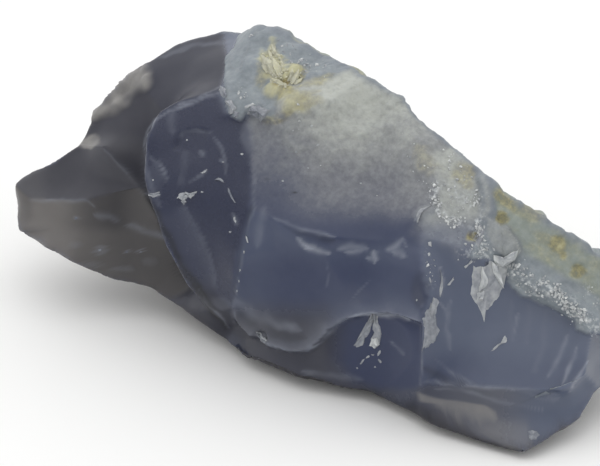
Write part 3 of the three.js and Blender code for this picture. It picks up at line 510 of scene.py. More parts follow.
# Mean value weights of the corners at points q: (tan of half the angle before a corner + the same after
# it) over the corner's distance, so that a blend of corner heights runs straight along each edge.
def cornerWeights(q, outline):
    to = outline[None] - q[:, None]
    reach = np.linalg.norm(to, axis=-1) + 1e-9
    after, reachAfter = np.roll(to, -1, 1), np.roll(reach, -1, 1)
    cross = to[..., 0] * after[..., 1] - to[..., 1] * after[..., 0]
    half = cross / (reach * reachAfter + (to * after).sum(-1) + 1e-9)
    weights = (half + np.roll(half, 1, 1)) / reach
    return weights / weights.sum(1, keepdims=True)


# The smooth distance to an outline: each side's distance cubed, one over it, summed, and the cube root of
# one over the sum.
def softDistance(q, outline):
    total = np.zeros(len(q))
    for a, b in zip(outline, np.roll(outline, -1, 0)):
        off = q - a
        t = np.clip(off @ (b - a) / ((b - a) @ (b - a)), 0, 1)
        total += (np.linalg.norm(off - t[:, None] * (b - a), axis=1) + 1e-6) ** -3.0
    return total ** (-1 / 3)


# Rays thrown from the spine: a fan that turns from one end of the spine to the other, evenly spaced along
# an oval, times the given turns around it.
def throwRays(turn):
    start, end = np.array(stone["spine"], float)
    length = np.linalg.norm(end - start)
    axis = (end - start) / length
    up = np.array([0, 0, 1]) - axis[2] * axis
    up /= np.linalg.norm(up)
    side = np.cross(up, axis)
    past, beside = stone["fanReach"]
    fine = np.linspace(0, np.pi, 4001)
    run = np.hypot(np.diff(-(length / 2 + past) * np.cos(fine)), np.diff(beside * np.sin(fine)))
    passed = np.r_[0, np.cumsum(run)] / run.sum()
    fan = np.interp(np.linspace(0, 1, stone["rows"] + 1), passed, fine)[:, None]
    around = np.cos(turn)[..., None] * up + np.sin(turn)[..., None] * side
    ways = -np.cos(fan)[..., None] * axis + np.sin(fan)[..., None] * around
    origins = start + (end - start) * ((1 - np.cos(fan)) / 2)[..., None]
    front = math.atan2(fromSheet @ side, fromSheet @ up)
    return np.broadcast_to(origins, ways.shape), ways, front


# Turns for each ring that space its points evenly along it, closer on the broken side: the ring is cast
# once coarsely, its length is summed times 1 + share * cosine of the turn from the front, and the turns
# are read where equal parts of that sum have passed.
def evenTurns(planes):
    coarse = np.linspace(0, 2 * np.pi, 121)
    turn = np.broadcast_to(coarse[:-1], (stone["rows"] + 1, 120))
    origins, ways, front = throwRays(turn)
    far, _ = castRays(origins.reshape(-1, 3), ways.reshape(-1, 3), planes)
    points = origins + far.reshape(turn.shape)[..., None] * ways
    run = np.linalg.norm(np.roll(points, -1, 1) - points, axis=-1)
    run = run / (run.mean(1, keepdims=True) + 1e-9) + 0.25
    run = run * (1 + stone["frontShare"] * np.cos((coarse[1:] + coarse[:-1]) / 2 - front))
    run = even(run, 6)
    passed = np.concatenate([np.zeros((len(run), 1)), np.cumsum(run, 1)], 1)
    wanted = np.arange(stone["around"]) / stone["around"]
    return np.stack([np.interp(wanted, ring / ring[-1], coarse) for ring in passed])


# Where each ray leaves the stone: every break is a fan of triangles about its centre, and the farthest
# triangle that a ray crosses says which break it is on.
def castRays(origins, ways, planes):
    far = np.zeros(len(origins))
    facet = np.zeros(len(origins), int)
    for index, (points, centre, *_) in enumerate(planes):
        for b, c in zip(points, np.roll(points, -1, 0)):
            ab, ac = b - centre, c - centre
            p = np.cross(ways, ac)
            size = p @ ab
            scale = 1 / np.where(np.abs(size) > 1e-9, size, np.inf)
            off = origins - centre
            u = (off * p).sum(1) * scale
            r = np.cross(off, ab)
            v = (ways * r).sum(1) * scale
            t = (r @ ac) * scale
            hit = (u >= -1e-7) & (v >= -1e-7) & (u + v <= 1 + 1e-7) & (t > far)
            far = np.where(hit, t, far)
            facet = np.where(hit, index, facet)
    return far, facet


# The bare breaks: each ray's point lies on its break's mean plane, raised to the blend of the corners'
# heights plus a bow that eases in from the edges. Points near an edge are put on it. Returns points, the
# number of each point's break and which points were put on an edge.
def bareStone():
    planes = [breakPlane(row[0]) for row in breaks.values()]
    origins, ways, _ = throwRays(evenTurns(planes))
    shape = origins.shape[:2]
    origins, ways = origins.reshape(-1, 3), ways.reshape(-1, 3)
    far, facet = castRays(origins, ways, planes)
    bare = origins + far[:, None] * ways
    grid = bare.reshape(*shape, 3)
    around = np.linalg.norm(np.roll(grid, -1, 1) - grid, axis=-1)
    along = np.linalg.norm(np.diff(grid, axis=0, append=grid[-1:]), axis=-1)
    catch = stone["edgeCatch"] * np.clip(np.maximum(around, along), 0.2, 1.2).ravel()
    onEdges = np.zeros(len(bare), bool)
    for index, (_, bow, width, *_) in enumerate(breaks.values()):
        points, centre, normal, right, ahead = planes[index]
        mine = facet == index
        q = np.stack([(bare[mine] - centre) @ right, (bare[mine] - centre) @ ahead], 1)
        outline = np.stack([(points - centre) @ right, (points - centre) @ ahead], 1)
        near = besideLine(q, outline, True)
        height = cornerWeights(q, outline) @ ((points - centre) @ normal)
        inward = np.minimum(1, softDistance(q, outline) / width)
        height = height + bow * (1 - (1 - inward) ** 2)
        place = centre + q[:, :1] * right + q[:, 1:] * ahead + height[:, None] * normal
        after = np.roll(points, -1, 0)
        onEdge = points[near.segment] + near.part[:, None] * (after[near.segment] - points[near.segment])
        caught = near.distance < catch[mine]
        bare[mine] = np.where(caught[:, None], onEdge, place)
        onEdges[mine] = caught
    return bare.reshape(*shape, 3), facet.reshape(shape), onEdges.reshape(shape)


# Each value moved half way to the mean of its four neighbours, some times over. The ends are the mean of
# the ring beside them.
def even(values, passes):
    for _ in range(passes):
        near = values.copy()
        before, after = np.roll(values, 1, 1), np.roll(values, -1, 1)
        near[1:-1] = (values[2:] + values[:-2] + before[1:-1] + after[1:-1]) / 4
        near[0], near[-1] = values[1].mean(0), values[-2].mean(0)
        values = values + (near - values) / 2
    return values


# Outward normals of a grid of points: along the stone crossed with around it.
def ringNormals(points):
    along = np.empty_like(points)
    along[1:-1] = points[2:] - points[:-2]
    along[0], along[-1] = points[1] - points[0], points[-1] - points[-2]
    around = np.roll(points, -1, 1) - np.roll(points, 1, 1)
    normals = np.cross(along, around)
    normals /= np.linalg.norm(normals, axis=-1, keepdims=True) + 1e-12
    for end, beside in ((0, 1), (-1, -2)):
        normals[end] = normals[beside].mean(0)
        normals[end] /= np.linalg.norm(normals[end, 0])
    middle = np.array(stone["spine"], float).mean(0)
    return normals if ((points - middle) * normals).sum() > 0 else -normals


# How strongly a point belongs to a spot: 1 inside the turned oval, easing to 0 at its ragged rim.
def inSpot(q, x, y, across, tall, turn, ragged):
    c, s = math.cos(math.radians(turn)), math.sin(math.radians(turn))
    dx, dy = q[..., 0] - x, q[..., 1] - y
    reach = np.hypot((c * dx + s * dy) / across, (c * dy - s * dx) / tall)
    return 1 - smooth(0.55, 1.25, reach + ragged)


# A value for each point along a line that is 1, but eases to 0 over a share of the length at both ends.
def fadingEnds(line, share):
    return smooth(0, share, line.along) * (1 - smooth(1 - share, 1, line.along))


# Rings about a centre: rise * cosine of the distance over the spacing, in turns, easing in outwards.
def ripples(skin, x, y, spacing, stray, rise, start, full):
    reach = np.hypot(skin.x - x, skin.y - y)
    return rise * smooth(start, full, reach) * np.cos((reach + stray * skin.middling) / spacing * 2 * np.pi)


# 1 for points on the named breaks and 0 elsewhere.
def onBreaks(skin, *names):
    return np.isin(skin.facet, [breakNumber[name] for name in names]) * 1.0


# What the reliefs and finishes go by: each point's place on the sheet, how far it faces the sheet, three
# sizes of noise, and its height in mm over the bare break, which starts as slow swells.
def readSkin(points, normals, facet):
    q = onSheet(points)
    towards = normals @ fromSheet
    skin = SimpleNamespace(points=points, facet=facet, q=q, x=q[..., 0], y=q[..., 1], finish={})
    skin.face = smooth(-0.08, 0.04, even(towards, 6))
    skin.wide = even(smooth(-0.6, 0.0, towards), 5)  # for the crusts, which run on over the skyline
    behind = (facet >= breakNumber["backRight"]) * 1.0
    skin.away = np.maximum(smooth(0.02, -0.3, even(towards, 8)), even(behind, 4))
    skin.middling, skin.fine = noise(points, 3.1, 12), noise(points, 1.7, 11)
    skin.tiny = noise(points, 0.8, 13)
    skin.height = 0.22 * noise(points, 7.0, 51) + 0.04 * skin.middling
    return skin


# The crust on top: a ragged step that sinks away to the right, with lumps on it.
def raiseTopCrust(skin):
    inside = insideOutline(skin.q, "crust") + 0.45 * skin.fine + 0.15 * skin.tiny
    skin.crust = smooth(-0.1, 0.25, inside)
    rise = stone["crustRise"] * (1 - 0.75 * smooth(-3.3, 3.75, skin.x))
    rough = 0.35 * lumps(skin.points, 2.6, 61) + 0.2 * skin.middling + 0.06 * skin.tiny
    skin.height += skin.wide * skin.crust * (rise + rough)


# The pocket in it: a star of yellow grains and a yellow lump about a small hollow, which is painted dark with
# ochre as painted shade.
def shapePocket(skin):
    skin.star = skin.face * smooth(-0.2, 0.5, insideOutline(skin.q, "star") + 0.5 * skin.tiny)
    reach = np.hypot((skin.x + 2.1) / 0.9, (skin.y - 21.9) / 0.55)
    skin.hollow = skin.face * (1 - smooth(0.4, 1.1, reach + 0.2 * skin.tiny))
    skin.root = skin.face * inSpot(skin.q, -3.9, 21.15, 1.5, 1.15, 15, 0.1 * skin.fine)
    grainy = 0.4 * lumps(skin.points, 0.8, 62) + 0.1 * lumps(skin.points, 1.9, 66, 0.3) + 0.05
    skin.height += skin.star * grainy + 0.55 * skin.root - stone["pocketDepth"] * skin.hollow


# The frosted side under the crust: lumps that die out towards the glossy front, and ledges, each a bell
# across the line 0.8 mm to the left of the drawn one.
def roughenFrost(skin):
    frosted = smooth(-9.6, -5.7, skin.x) * smooth(-2.5, 3.5, skin.y) * (1 - smooth(18, 22.5, skin.x))
    rough = 0.35 * lumps(skin.points, 2.6, 21) + 0.35 * skin.middling + 0.1 * skin.fine
    high = smooth(11, 15, skin.y + 0.8 * skin.middling)
    rough = rough + 0.35 * high * lumps(skin.points, 1.2, 23)
    skin.height += skin.face * frosted * rough * (0.35 + 0.65 * smooth(4, 13, skin.y))
    for rise, text in ledges:
        line = besideLine(skin.q, onGrid(text))
        skin.height += skin.face * fadingEnds(line, 0.12) * rise * bell(line.distance * line.side - 0.8, 0.9)


# The crust on the right: lumps, a tilted shard, a band, a pale ridge and pits.
def raiseRightCrust(skin):
    skin.rightInside = insideOutline(skin.q, "rightCrust") + 0.5 * skin.fine + 0.15 * skin.tiny
    skin.right = smooth(-0.2, 0.5, skin.rightInside)
    skin.veil = skin.face * smooth(-1.0, 2.0, insideOutline(skin.q, "greyVeil") + 0.7 * skin.fine)
    skin.height += skin.veil * (0.25 * lumps(skin.points, 2.0, 37, 0.3) + 0.1 * skin.fine)
    lumpy = 0.5 * lumps(skin.points, 3.4, 31) + 0.2 * lumps(skin.points, 1.5, 35)
    rise = (stone["rightCrustRise"] + lumpy) * (0.15 + 0.85 * smooth(26.1, 30, skin.x))
    skin.height += skin.wide * skin.right * (rise + 0.2 * skin.fine + 0.06 * skin.tiny)
    skin.shard = insideOutline(skin.q, "shard") + 0.12 * skin.fine
    skin.height += skin.face * 0.6 * smooth(-0.1, 0.35, skin.shard) * smooth(27.6, 31.2, skin.x)
    line = besideLine(skin.q, onGrid(lines["bandLine"]))
    band = (1 - smooth(0.2, 2.4, line.distance)) * smooth(0, 0.08, line.along)
    skin.fromRidge = besideLine(skin.q, onGrid(lines["paleRidge"])).distance
    skin.height += skin.face * (band + 0.35 * (1 - smooth(0.1, 1.6, skin.fromRidge)))
    for x, y, radius, depth in pits:
        reach = np.hypot(skin.x - x * sheetStep, skin.y - y * sheetStep) / radius
        skin.height -= skin.face * depth * (1 - smooth(0.4, 1.1, reach))


# The pale patch on the dull left end: a low lumpy swelling.
def raisePalePatch(skin):
    skin.patch = smooth(-0.6, 1.0, insideOutline(skin.q, "palePatch") + 0.5 * skin.fine)
    lumpy = 0.8 * lumps(skin.points, 2.4, 39) + 0.15 * skin.fine
    skin.height += skin.face * skin.patch * (0.3 + lumpy)


# The glossy front: a step down under the crest that dies out over 6 mm, the bowl of the scar below it, a
# round chip near its left end, and ripples. The bare face to its right has ripples too.
def shapeFront(skin):
    front = skin.face * smooth(-10.5, -9, skin.x) * (1 - smooth(17.7, 18.6, skin.x))
    crest = besideLine(skin.q, onGrid(lines["crest"]))
    skin.below = crest.side < 0
    fall = smooth(0, 0.7, crest.distance) * np.exp(-np.maximum(crest.distance - 0.7, 0) / 6.0)
    skin.height += front * np.where(skin.below, -stone["crestStep"] * fall, 0.35 * bell(crest.distance, 1.3))
    reach = np.hypot(skin.x - 9.9, (skin.y + 17.85) / 0.85)
    skin.height -= front * stone["scarDepth"] * np.clip(1 - (reach / 6.6) ** 2, 0, 1) * skin.below
    skin.scar = front * smooth(-0.5, 1.4, insideOutline(skin.q, "scar") + 0.3 * skin.fine)
    # painted reflection: a pale sheen just above the crest, fading away from it, later added to the pale
    # veils
    paintedCrestSheen = smooth(0, 0.15, crest.along) * np.exp(-crest.distance / 1.6) * (0.75 + 0.3 * skin.middling)
    skin.lip = front * ~skin.below * paintedCrestSheen
    skin.height += front * ~skin.below * ripples(skin, *stone["frontRipples"])
    bare = skin.face * smooth(18.75, 21, skin.x) * (1 - smooth(-0.2, 0.6, skin.rightInside))
    skin.height += bare * smooth(34.5, 39, skin.x) * ripples(skin, *stone["rightRipples"])
    reach = np.hypot(skin.x + 6, skin.y + 15.75) / 1.35
    skin.height -= skin.face * 0.8 * (1 - smooth(0.5, 1.0, reach))


# The glossy lobe: a step down to the right of a line, and a fold seen as a pale line, sharp on its left.
def shapeLobe(skin):
    lobe = skin.face * smooth(-24, -22.5, skin.x) * (1 - smooth(-9, -7.5, skin.x)) * (1 - skin.crust)
    line = besideLine(skin.q, onGrid(lines["lobeStep"]))
    step = -0.5 * smooth(0, 0.5, line.distance) * np.exp(-line.distance / 3.0)
    skin.height += lobe * fadingEnds(line, 0.15) * np.where(line.side < 0, step, 0)
    line = besideLine(skin.q, onGrid(lines["lobeFold"]))
    across = np.where(line.side < 0, np.exp(-line.distance / 1.3), bell(line.distance, 0.15))
    skin.fold = 0.22 * lobe * fadingEnds(line, 0.1) * across


# The seam's outer wall, which covers the back down to a ragged foot: two sizes of lumps. The break beside
# and below it is bent by slow noise.
def raiseWall(skin):
    along = skin.points[..., 0] + 2.0 * skin.middling + 1.5 * noise(skin.points, 6, 95)
    up = skin.points[..., 2] + 2.0 * skin.middling + 1.5 * noise(skin.points, 6, 96)
    skin.wall = skin.away * smooth(-19, -14, along) * smooth(5, 9, up)
    lumpy = 0.9 * lumps(skin.points, 6.5, 97) + 0.6 * lumps(skin.points, 3.0, 98) + 0.12 * skin.fine
    plain = 0.5 * noise(skin.points, 5.0, 99) + 0.2 * skin.middling
    skin.height += skin.wall * lumpy + skin.away * (1 - skin.wall) * plain


# Streaks and spots, with their rise: a streak is a bell across its line, tapered to the ends and broken by
# noise, and a spot is a ragged oval. Both are read at places that stray a little.
def drawMarks(skin):
    slow = np.stack([noise(skin.points, 1.9, 71), noise(skin.points, 1.9, 74)], -1)
    quick = np.stack([skin.tiny, noise(skin.points, 0.8, 77)], -1)
    skin.stray = skin.q + 0.22 * slow + 0.1 * quick
    broken = 0.8 + 0.5 * noise(skin.points, 2.4, 81)
    finish = skin.finish
    for name in stone["streakWander"]:
        finish[name] = np.zeros(skin.x.shape)
    for name, half, strength, text, *rise in streaks:
        line = besideLine(skin.stray, onGrid(text))
        taper = 0.35 + 0.65 * np.sqrt(np.clip(4 * line.along * (1 - line.along), 0, 1))
        wander = stone["streakWander"][name]
        on = bell(line.distance * (1 + wander * skin.tiny), half * taper) * (1 + wander * skin.fine)
        finish[name] = np.maximum(finish[name], skin.face * strength * np.clip(on * broken, 0, 1))
        skin.height += skin.face * sum(rise) * on
    for name, rows in spots.items():
        wander = stone["spotWander"][name]
        for x, y, across, tall, turn, strength, *rise in rows:
            ragged = wander * skin.tiny + wander * 0.6 * skin.fine
            on = inSpot(skin.stray, x * sheetStep, y * sheetStep, across, tall, turn, ragged)
            finish[name] = np.maximum(finish[name], skin.face * strength * on)
            skin.height += skin.face * sum(rise) * on


# Sugary quartz where grains are strewn: a bell across each of their lines, as strong as they lie densely.
def drawSugar(skin):
    sugar = np.zeros(skin.x.shape)
    for count, spread, text in crushed["grains"]:
        line = onGrid(text)
        length = np.linalg.norm(np.diff(line, axis=0), axis=1).sum()
        dense = np.clip(count / length / spread / 30, 0, 1)
        sugar = np.maximum(sugar, dense * bell(besideLine(skin.stray, line).distance, 1.5 * spread))
    skin.finish["sugar"] = skin.face * sugar


# Tone and dullness: each break's own, plus the shades that ease in within it, evened out over the edges.
def shadeBreaks(skin):
    finish = skin.finish
    for column, name in ((3, "tone"), (4, "dull")):
        finish[name] = np.array([row[column] for row in breaks.values()], float)[skin.facet]
    for name, place, amount, *ramps in shades:
        on = amount * onBreaks(skin, place)
        for axis, start, end in ramps:
            on = on * smooth(start, end, getattr(skin, axis))
        finish[name] = finish[name] + on
    front = onBreaks(skin, "front")
    struck = 0.6 * skin.below * (1 - skin.scar) * smooth(18, 12, skin.x)
    foot = 0.7 * smooth(-9, -14, skin.y) * smooth(7.5, 3, skin.x)
    finish["tone"] = even(finish["tone"] + 0.14 * front * skin.scar, 3)
    finish["dull"] = even(finish["dull"] + front * np.maximum(struck, foot), 3)
    # the pale veils also take the painted reflection above the crest and the pale line of the fold
    finish["haze"] = np.maximum.reduce([finish["haze"], 0.75 * skin.lip, skin.fold])


# Frost, which fades down the side and out to its left, and how high it is, from grey to almost white. Its
# whitening upwards is partly the frost's own colour and partly painted light from above.
def frostSide(skin):
    x, y = skin.x, skin.y
    slow, slower = y + 0.5 * skin.middling, y + 0.8 * skin.middling
    down = 0.75 * smooth(0, 6, slow) + 0.25 * smooth(3, 11, slower)
    down = np.maximum(down, 0.9 * smooth(0.5, 5, slow) * smooth(7.5, 14.25, x))
    side = smooth(-9, -6.6, x + 0.3 * skin.fine) * (1 - smooth(22.8, 25.5, x))
    side = side * (1 - (0.75 - 0.45 * smooth(5, 13, y)) * smooth(3.75, -3.75, x))
    here = np.clip(even(onBreaks(skin, "frosted", "rightCrust"), 3), 0, 1)
    skin.finish["frost"] = here * side * down
    # partly painted light: whiter up the side, where light from above falls on the frost, and darker towards
    # its left
    high = smooth(7, 21, slower) * (0.35 + 0.65 * smooth(-7.5, 8.25, x)) * (1 - 0.2 * smooth(10.5, 13.5, x))
    high = high + 0.2 * smooth(13.5, 17.25, x) * smooth(3, 7, y) * smooth(14, 9, y)
    clouds = noise(skin.points, 2.4, 101) + 0.5 * skin.fine
    skin.finish["high"] = high + 0.14 * clouds * smooth(5, 12, y) + 0.3 * skin.finish["wisp"]


# Both crusts: blue-grey inside a drawn outline, frosted outside it and along wisps, olive on the right
# slope, light on the shard and the pale ridge, and over the whole outer wall.
def crustTops(skin):
    finish = skin.finish
    wisp = finish.pop("wisp")
    blue = smooth(-0.5, 0.5, insideOutline(skin.q, "blueCrust") + 0.35 * skin.fine)
    line = besideLine(skin.q, onGrid(lines["bandTop"]))
    olive = smooth(-0.8, 0.8, line.distance * line.side + 0.5 * skin.fine)
    slope = even(onBreaks(skin, "rightSlope", "endBack"), 4) * skin.right * olive
    lit = 0.75 * smooth(-0.3, 0.6, skin.shard) + 0.6 * bell(skin.shard, 0.3) * smooth(29.7, 31.5, skin.x)
    light = skin.right * np.maximum(lit, 0.8 * bell(skin.fromRidge, 0.9)) * skin.face
    veilFrost = skin.veil * (0.35 + 0.45 * smooth(-0.3, 3.45, skin.y))
    veilHigh = skin.veil * (0.3 + 0.5 * smooth(0.15, 2.85, skin.y))
    onWisp = skin.crust * wisp
    finish["frost"] = np.maximum.reduce([finish["frost"], skin.crust * (1 - blue), veilFrost, light, onWisp])
    finish["high"] = np.maximum.reduce([finish["high"], veilHigh, 0.85 * light, onWisp])
    finish["crust"] = np.maximum(skin.crust * blue * (1 - 0.6 * wisp), skin.right * (1 - light))
    finish["slope"] = slope * (1 - light)
    for name in ("frost", "crust", "slope"):
        finish[name] = finish[name] * (1 - skin.away)
    deepWall = smooth(0.75, 1, skin.wall)
    oliveWall = deepWall * smooth(-0.3, 0.6, noise(skin.points, 9, 92))
    stainedWall = 0.7 * deepWall * smooth(0.25, 0.7, noise(skin.points, 5, 94))
    finish["crust"] = np.maximum(finish["crust"], skin.wall)
    finish["slope"] = np.maximum(finish["slope"], oliveWall)
    finish["stain"] = np.maximum(finish["stain"], stainedWall)


# Pale patches on the left end and the underside, the yellow of the pocket, and its ochre, which is partly
# iron stain and partly painted shade in the small hollow.
def paleAndYellow(skin):
    finish = skin.finish
    patch = np.maximum(skin.patch, inSpot(skin.stray, -31.65, 13.65, 1.6, 1.0, 20, 0.2 * skin.fine))
    patch = patch * (0.75 + 0.5 * noise(skin.points, 2.6, 91) + 0.3 * skin.fine)
    under = even(smooth(-0.2, 0.2, insideOutline(skin.q, "underPatch") + 0.15 * skin.middling), 1)
    foot = even(smooth(-0.3, 0.4, insideOutline(skin.q, "underFoot") + 0.3 * skin.middling), 2)
    finish["pale"] = skin.face * np.maximum.reduce([1.3 * patch, 0.62 * under, 0.3 * foot])
    ragged = 0.4 * skin.tiny + 0.3 * skin.fine
    below = skin.face * inSpot(skin.stray, -0.9, 19.65, 2.6, 1.7, -15, ragged)
    finish["yellow"] = np.maximum.reduce([skin.star, 0.85 * skin.root, 0.5 * below])
    beside = 0.6 * skin.face * inSpot(skin.stray, -2.7, 21.9, 1.0, 0.5, 0, 0.3 * skin.tiny)
    # ochre: painted shade in the hollow, and iron stain in a spot beside it
    finish["ochre"] = np.maximum(skin.hollow, beside)


# The closed skin over rings of points: two triangles per square between rings, split along the diagonal
# that lies on an edge where there is one, and a fan at each end, all facing out.
def skinOverRings(points, onEdges):
    rows, around = points.shape[0] - 2, points.shape[1]
    vertices = np.concatenate([points[1:-1].reshape(-1, 3), points[:1, 0], points[-1:, 0]])
    sharp = np.concatenate([onEdges[1:-1].ravel(), [False, False]])
    grid = np.arange(rows * around).reshape(rows, around)
    after = np.roll(grid, -1, 1)
    squares = np.stack([grid[:-1], grid[1:], after[1:], after[:-1]], -1).reshape(-1, 4)
    a, b, c, d = squares.T
    swapped = (sharp[b] & sharp[d] & ~(sharp[a] & sharp[c]))[:, None]
    one = np.where(swapped, np.stack([a, b, d], 1), np.stack([a, b, c], 1))
    two = np.where(swapped, np.stack([b, c, d], 1), np.stack([a, c, d], 1))
    first, last = rows * around, rows * around + 1
    starts = np.stack([np.full(around, first), grid[0], after[0]], -1)
    ends = np.stack([np.full(around, last), after[-1], grid[-1]], -1)
    triangles = np.concatenate([one, two, starts, ends])
    a, b, c = vertices[triangles[:, 0]], vertices[triangles[:, 1]], vertices[triangles[:, 2]]
    volume = (np.cross(b - a, c - a) * (a - vertices.mean(0))).sum()
    return vertices, triangles if volume > 0 else triangles[:, ::-1]


# Points from the frame square to the broken side to the object's own, in metres: turned about z, moved to
# the middle of the box, and held inside it.
def toObject(points):
    turn = math.radians(stone["turnDegrees"])
    c, s = math.cos(turn), math.sin(turn)
    x, y, z = np.moveaxis(points, -1, 0)
    moved = np.stack([c * x - s * y, s * x + c * y, z], -1)
    return np.clip((moved + np.array(stone["toOrigin"], float)) * mm, np.array(cadLow), np.array(cadHigh))


# A mesh object made from arrays of points and triangles, with one value per point for each of its values.
def meshObject(name, vertices, triangles, material, values, rounded):
    mesh = bpy.data.meshes.new(name)
    mesh.vertices.add(len(vertices))
    mesh.vertices.foreach_set("co", vertices.astype(np.float32).ravel())
    mesh.loops.add(triangles.size)
    mesh.loops.foreach_set("vertex_index", triangles.astype(np.int32).ravel())
    mesh.polygons.add(len(triangles))
    mesh.polygons.foreach_set("loop_start", np.arange(0, triangles.size, 3, dtype=np.int32))
    mesh.polygons.foreach_set("use_smooth", np.full(len(triangles), rounded))
    mesh.materials.append(material)
    mesh.update(calc_edges=True)
    mesh.validate()
    for key, numbers in values.items():
        store = mesh.attributes.new(key, "FLOAT", "POINT")
        store.data.foreach_set("value", np.clip(numbers, 0, 1).astype(np.float32))
    thing = bpy.data.objects.new(name, mesh)
    bpy.context.collection.objects.link(thing)
    return thing


# The whole stone: bare breaks, their edges softened, bent by slow noise, then the reliefs and finishes in
# turn. The flat spot underneath stays flat.
def makeStone(material):
    bare, facet, onEdges = bareStone()
    points = even(bare, stone["softening"])
    worn = 1 - smooth(*stone["wornEnd"], bare[..., :1])
    points = points + worn * (even(points, 8) - points)
    standing = smooth(0.3, 3.0, bare[..., 2])[..., None]  # 0 at the flat spot
    for cell, height, seed in stone["wander"]:
        bend = np.stack([noise(points, cell, seed + n) for n in range(3)], -1)
        points = points + height * bend * standing
    normals = ringNormals(points)
    skin = readSkin(points, normals, facet)
    for shape in (raiseTopCrust, shapePocket, roughenFrost, raiseRightCrust, raisePalePatch, shapeFront,
            shapeLobe, raiseWall, drawMarks, drawSugar, shadeBreaks, frostSide, crustTops, paleAndYellow):
        shape(skin)
    points = points + normals * skin.height[..., None] * standing
    points[..., 2] = np.where(bare[..., 2] < 0.05, 0, np.maximum(points[..., 2], 0))
    vertices, triangles = skinOverRings(toObject(points), onEdges)
    flat = {key: np.concatenate([v[1:-1].ravel(), v[:1, 0], v[-1:, 0]]) for key, v in skin.finish.items()}
    thing = meshObject("blue-lace-agate-stone", vertices, triangles, material, flat, True)
    return thing, points, normals


# Where places on the sheet lie on the stone: of the grid points that face the sheet, the one with the least
# distance squared on the sheet plus a share of its depth gives a plane, and the throw line through the place
# is cut with that plane. Returns points and normals.
def onStone(places, points, normals):
    facing = (normals @ fromSheet > 0.05).ravel()
    ground, ways = points.reshape(-1, 3)[facing], normals.reshape(-1, 3)[facing]
    q = onSheet(ground)
    depth = -0.08 * (ground @ fromSheet)
    nearest = np.zeros(len(places), int)
    for start in range(0, len(places), 200):
        part = places[start:start + 200]
        away = (part[:, :1] - q[None, :, 0]) ** 2 + (part[:, 1:] - q[None, :, 1]) ** 2
        nearest[start:start + 200] = (away + depth).argmin(1)
    foot, normal = ground[nearest], ways[nearest]
    sheetMiddle = np.array([0, 0, stone["sheetHeight"]])
    eye = sheetMiddle + fromSheet * stone["throwLength"]
    ray = places[:, :1] * np.array([1, 0, 0]) + places[:, 1:] * sheetUp + sheetMiddle - eye
    part = ((foot - eye) * normal).sum(1) / (ray * normal).sum(1)
    shift = eye + ray * part[:, None] - foot
    reach = np.linalg.norm(shift, axis=1, keepdims=True)
    return foot + shift * np.minimum(1, 0.35 / (reach + 1e-9)), normal


# Triangles of a closed piece made of a low ring, a high ring, a point over the high ring and a point under
# the low one.
def twoRings(sides):
    here = np.arange(sides)
    after = (here + 1) % sides
    return np.concatenate([
        np.stack([here, after, after + sides], 1), np.stack([here, after + sides, here + sides], 1),
        np.stack([here + sides, after + sides, np.full(sides, 2 * sides)], 1),
        np.stack([after, here, np.full(sides, 2 * sides + 1)], 1),
    ])


# Many small closed pieces with the same triangles as one mesh, each turned to face out.
def looseMesh(name, vertices, pattern, material, values):
    count, each = vertices.shape[:2]
    a, b, c = (vertices[:, pattern[:, n]] for n in range(3))
    volume = (np.cross(b - a, c - a) * (a - vertices.mean(1, keepdims=True))).sum((1, 2))
    triangles = pattern[None] + (np.arange(count) * each)[:, None, None]
    triangles = np.where(volume[:, None, None] > 0, triangles, triangles[..., ::-1]).reshape(-1, 3)
    return meshObject(name, toObject(vertices.reshape(-1, 3)), triangles, material, values, False)


# The yellow quartz crystals of the pocket.
pocket = {
    # foot and tip in whole steps of the sheet's grid, then radius and lift of the tip
    "crystals": [
        [-15, 150, -26, 172, 0.7, 0.9], [-12, 153, -18, 171, 0.5, 0.7], [-20, 155, -38, 178, 0.95, 0.3],
        [-28, 160, -37, 170, 0.8, 0.2], [-22, 166, -27, 187, 0.45, 0.35],
        [-28, 172, -31, 183, 0.3, 0.35], [-16, 147, -28, 154, 0.6, 0.3], [-10, 150, -1, 161, 0.6, 0.35],
        [-9, 149, 4, 154, 0.5, 0.3], [-10, 154, -7, 163, 0.32, 0.4],
    ],
    "small": 110,  # small crystals strewn over the star
    "smallLength": [0.35, 0.9],
    "seed": 7,
    "sides": 6,
    "shoulder": 0.62,  # the part of its length where a crystal starts to narrow
    "flatness": 0.6,
}


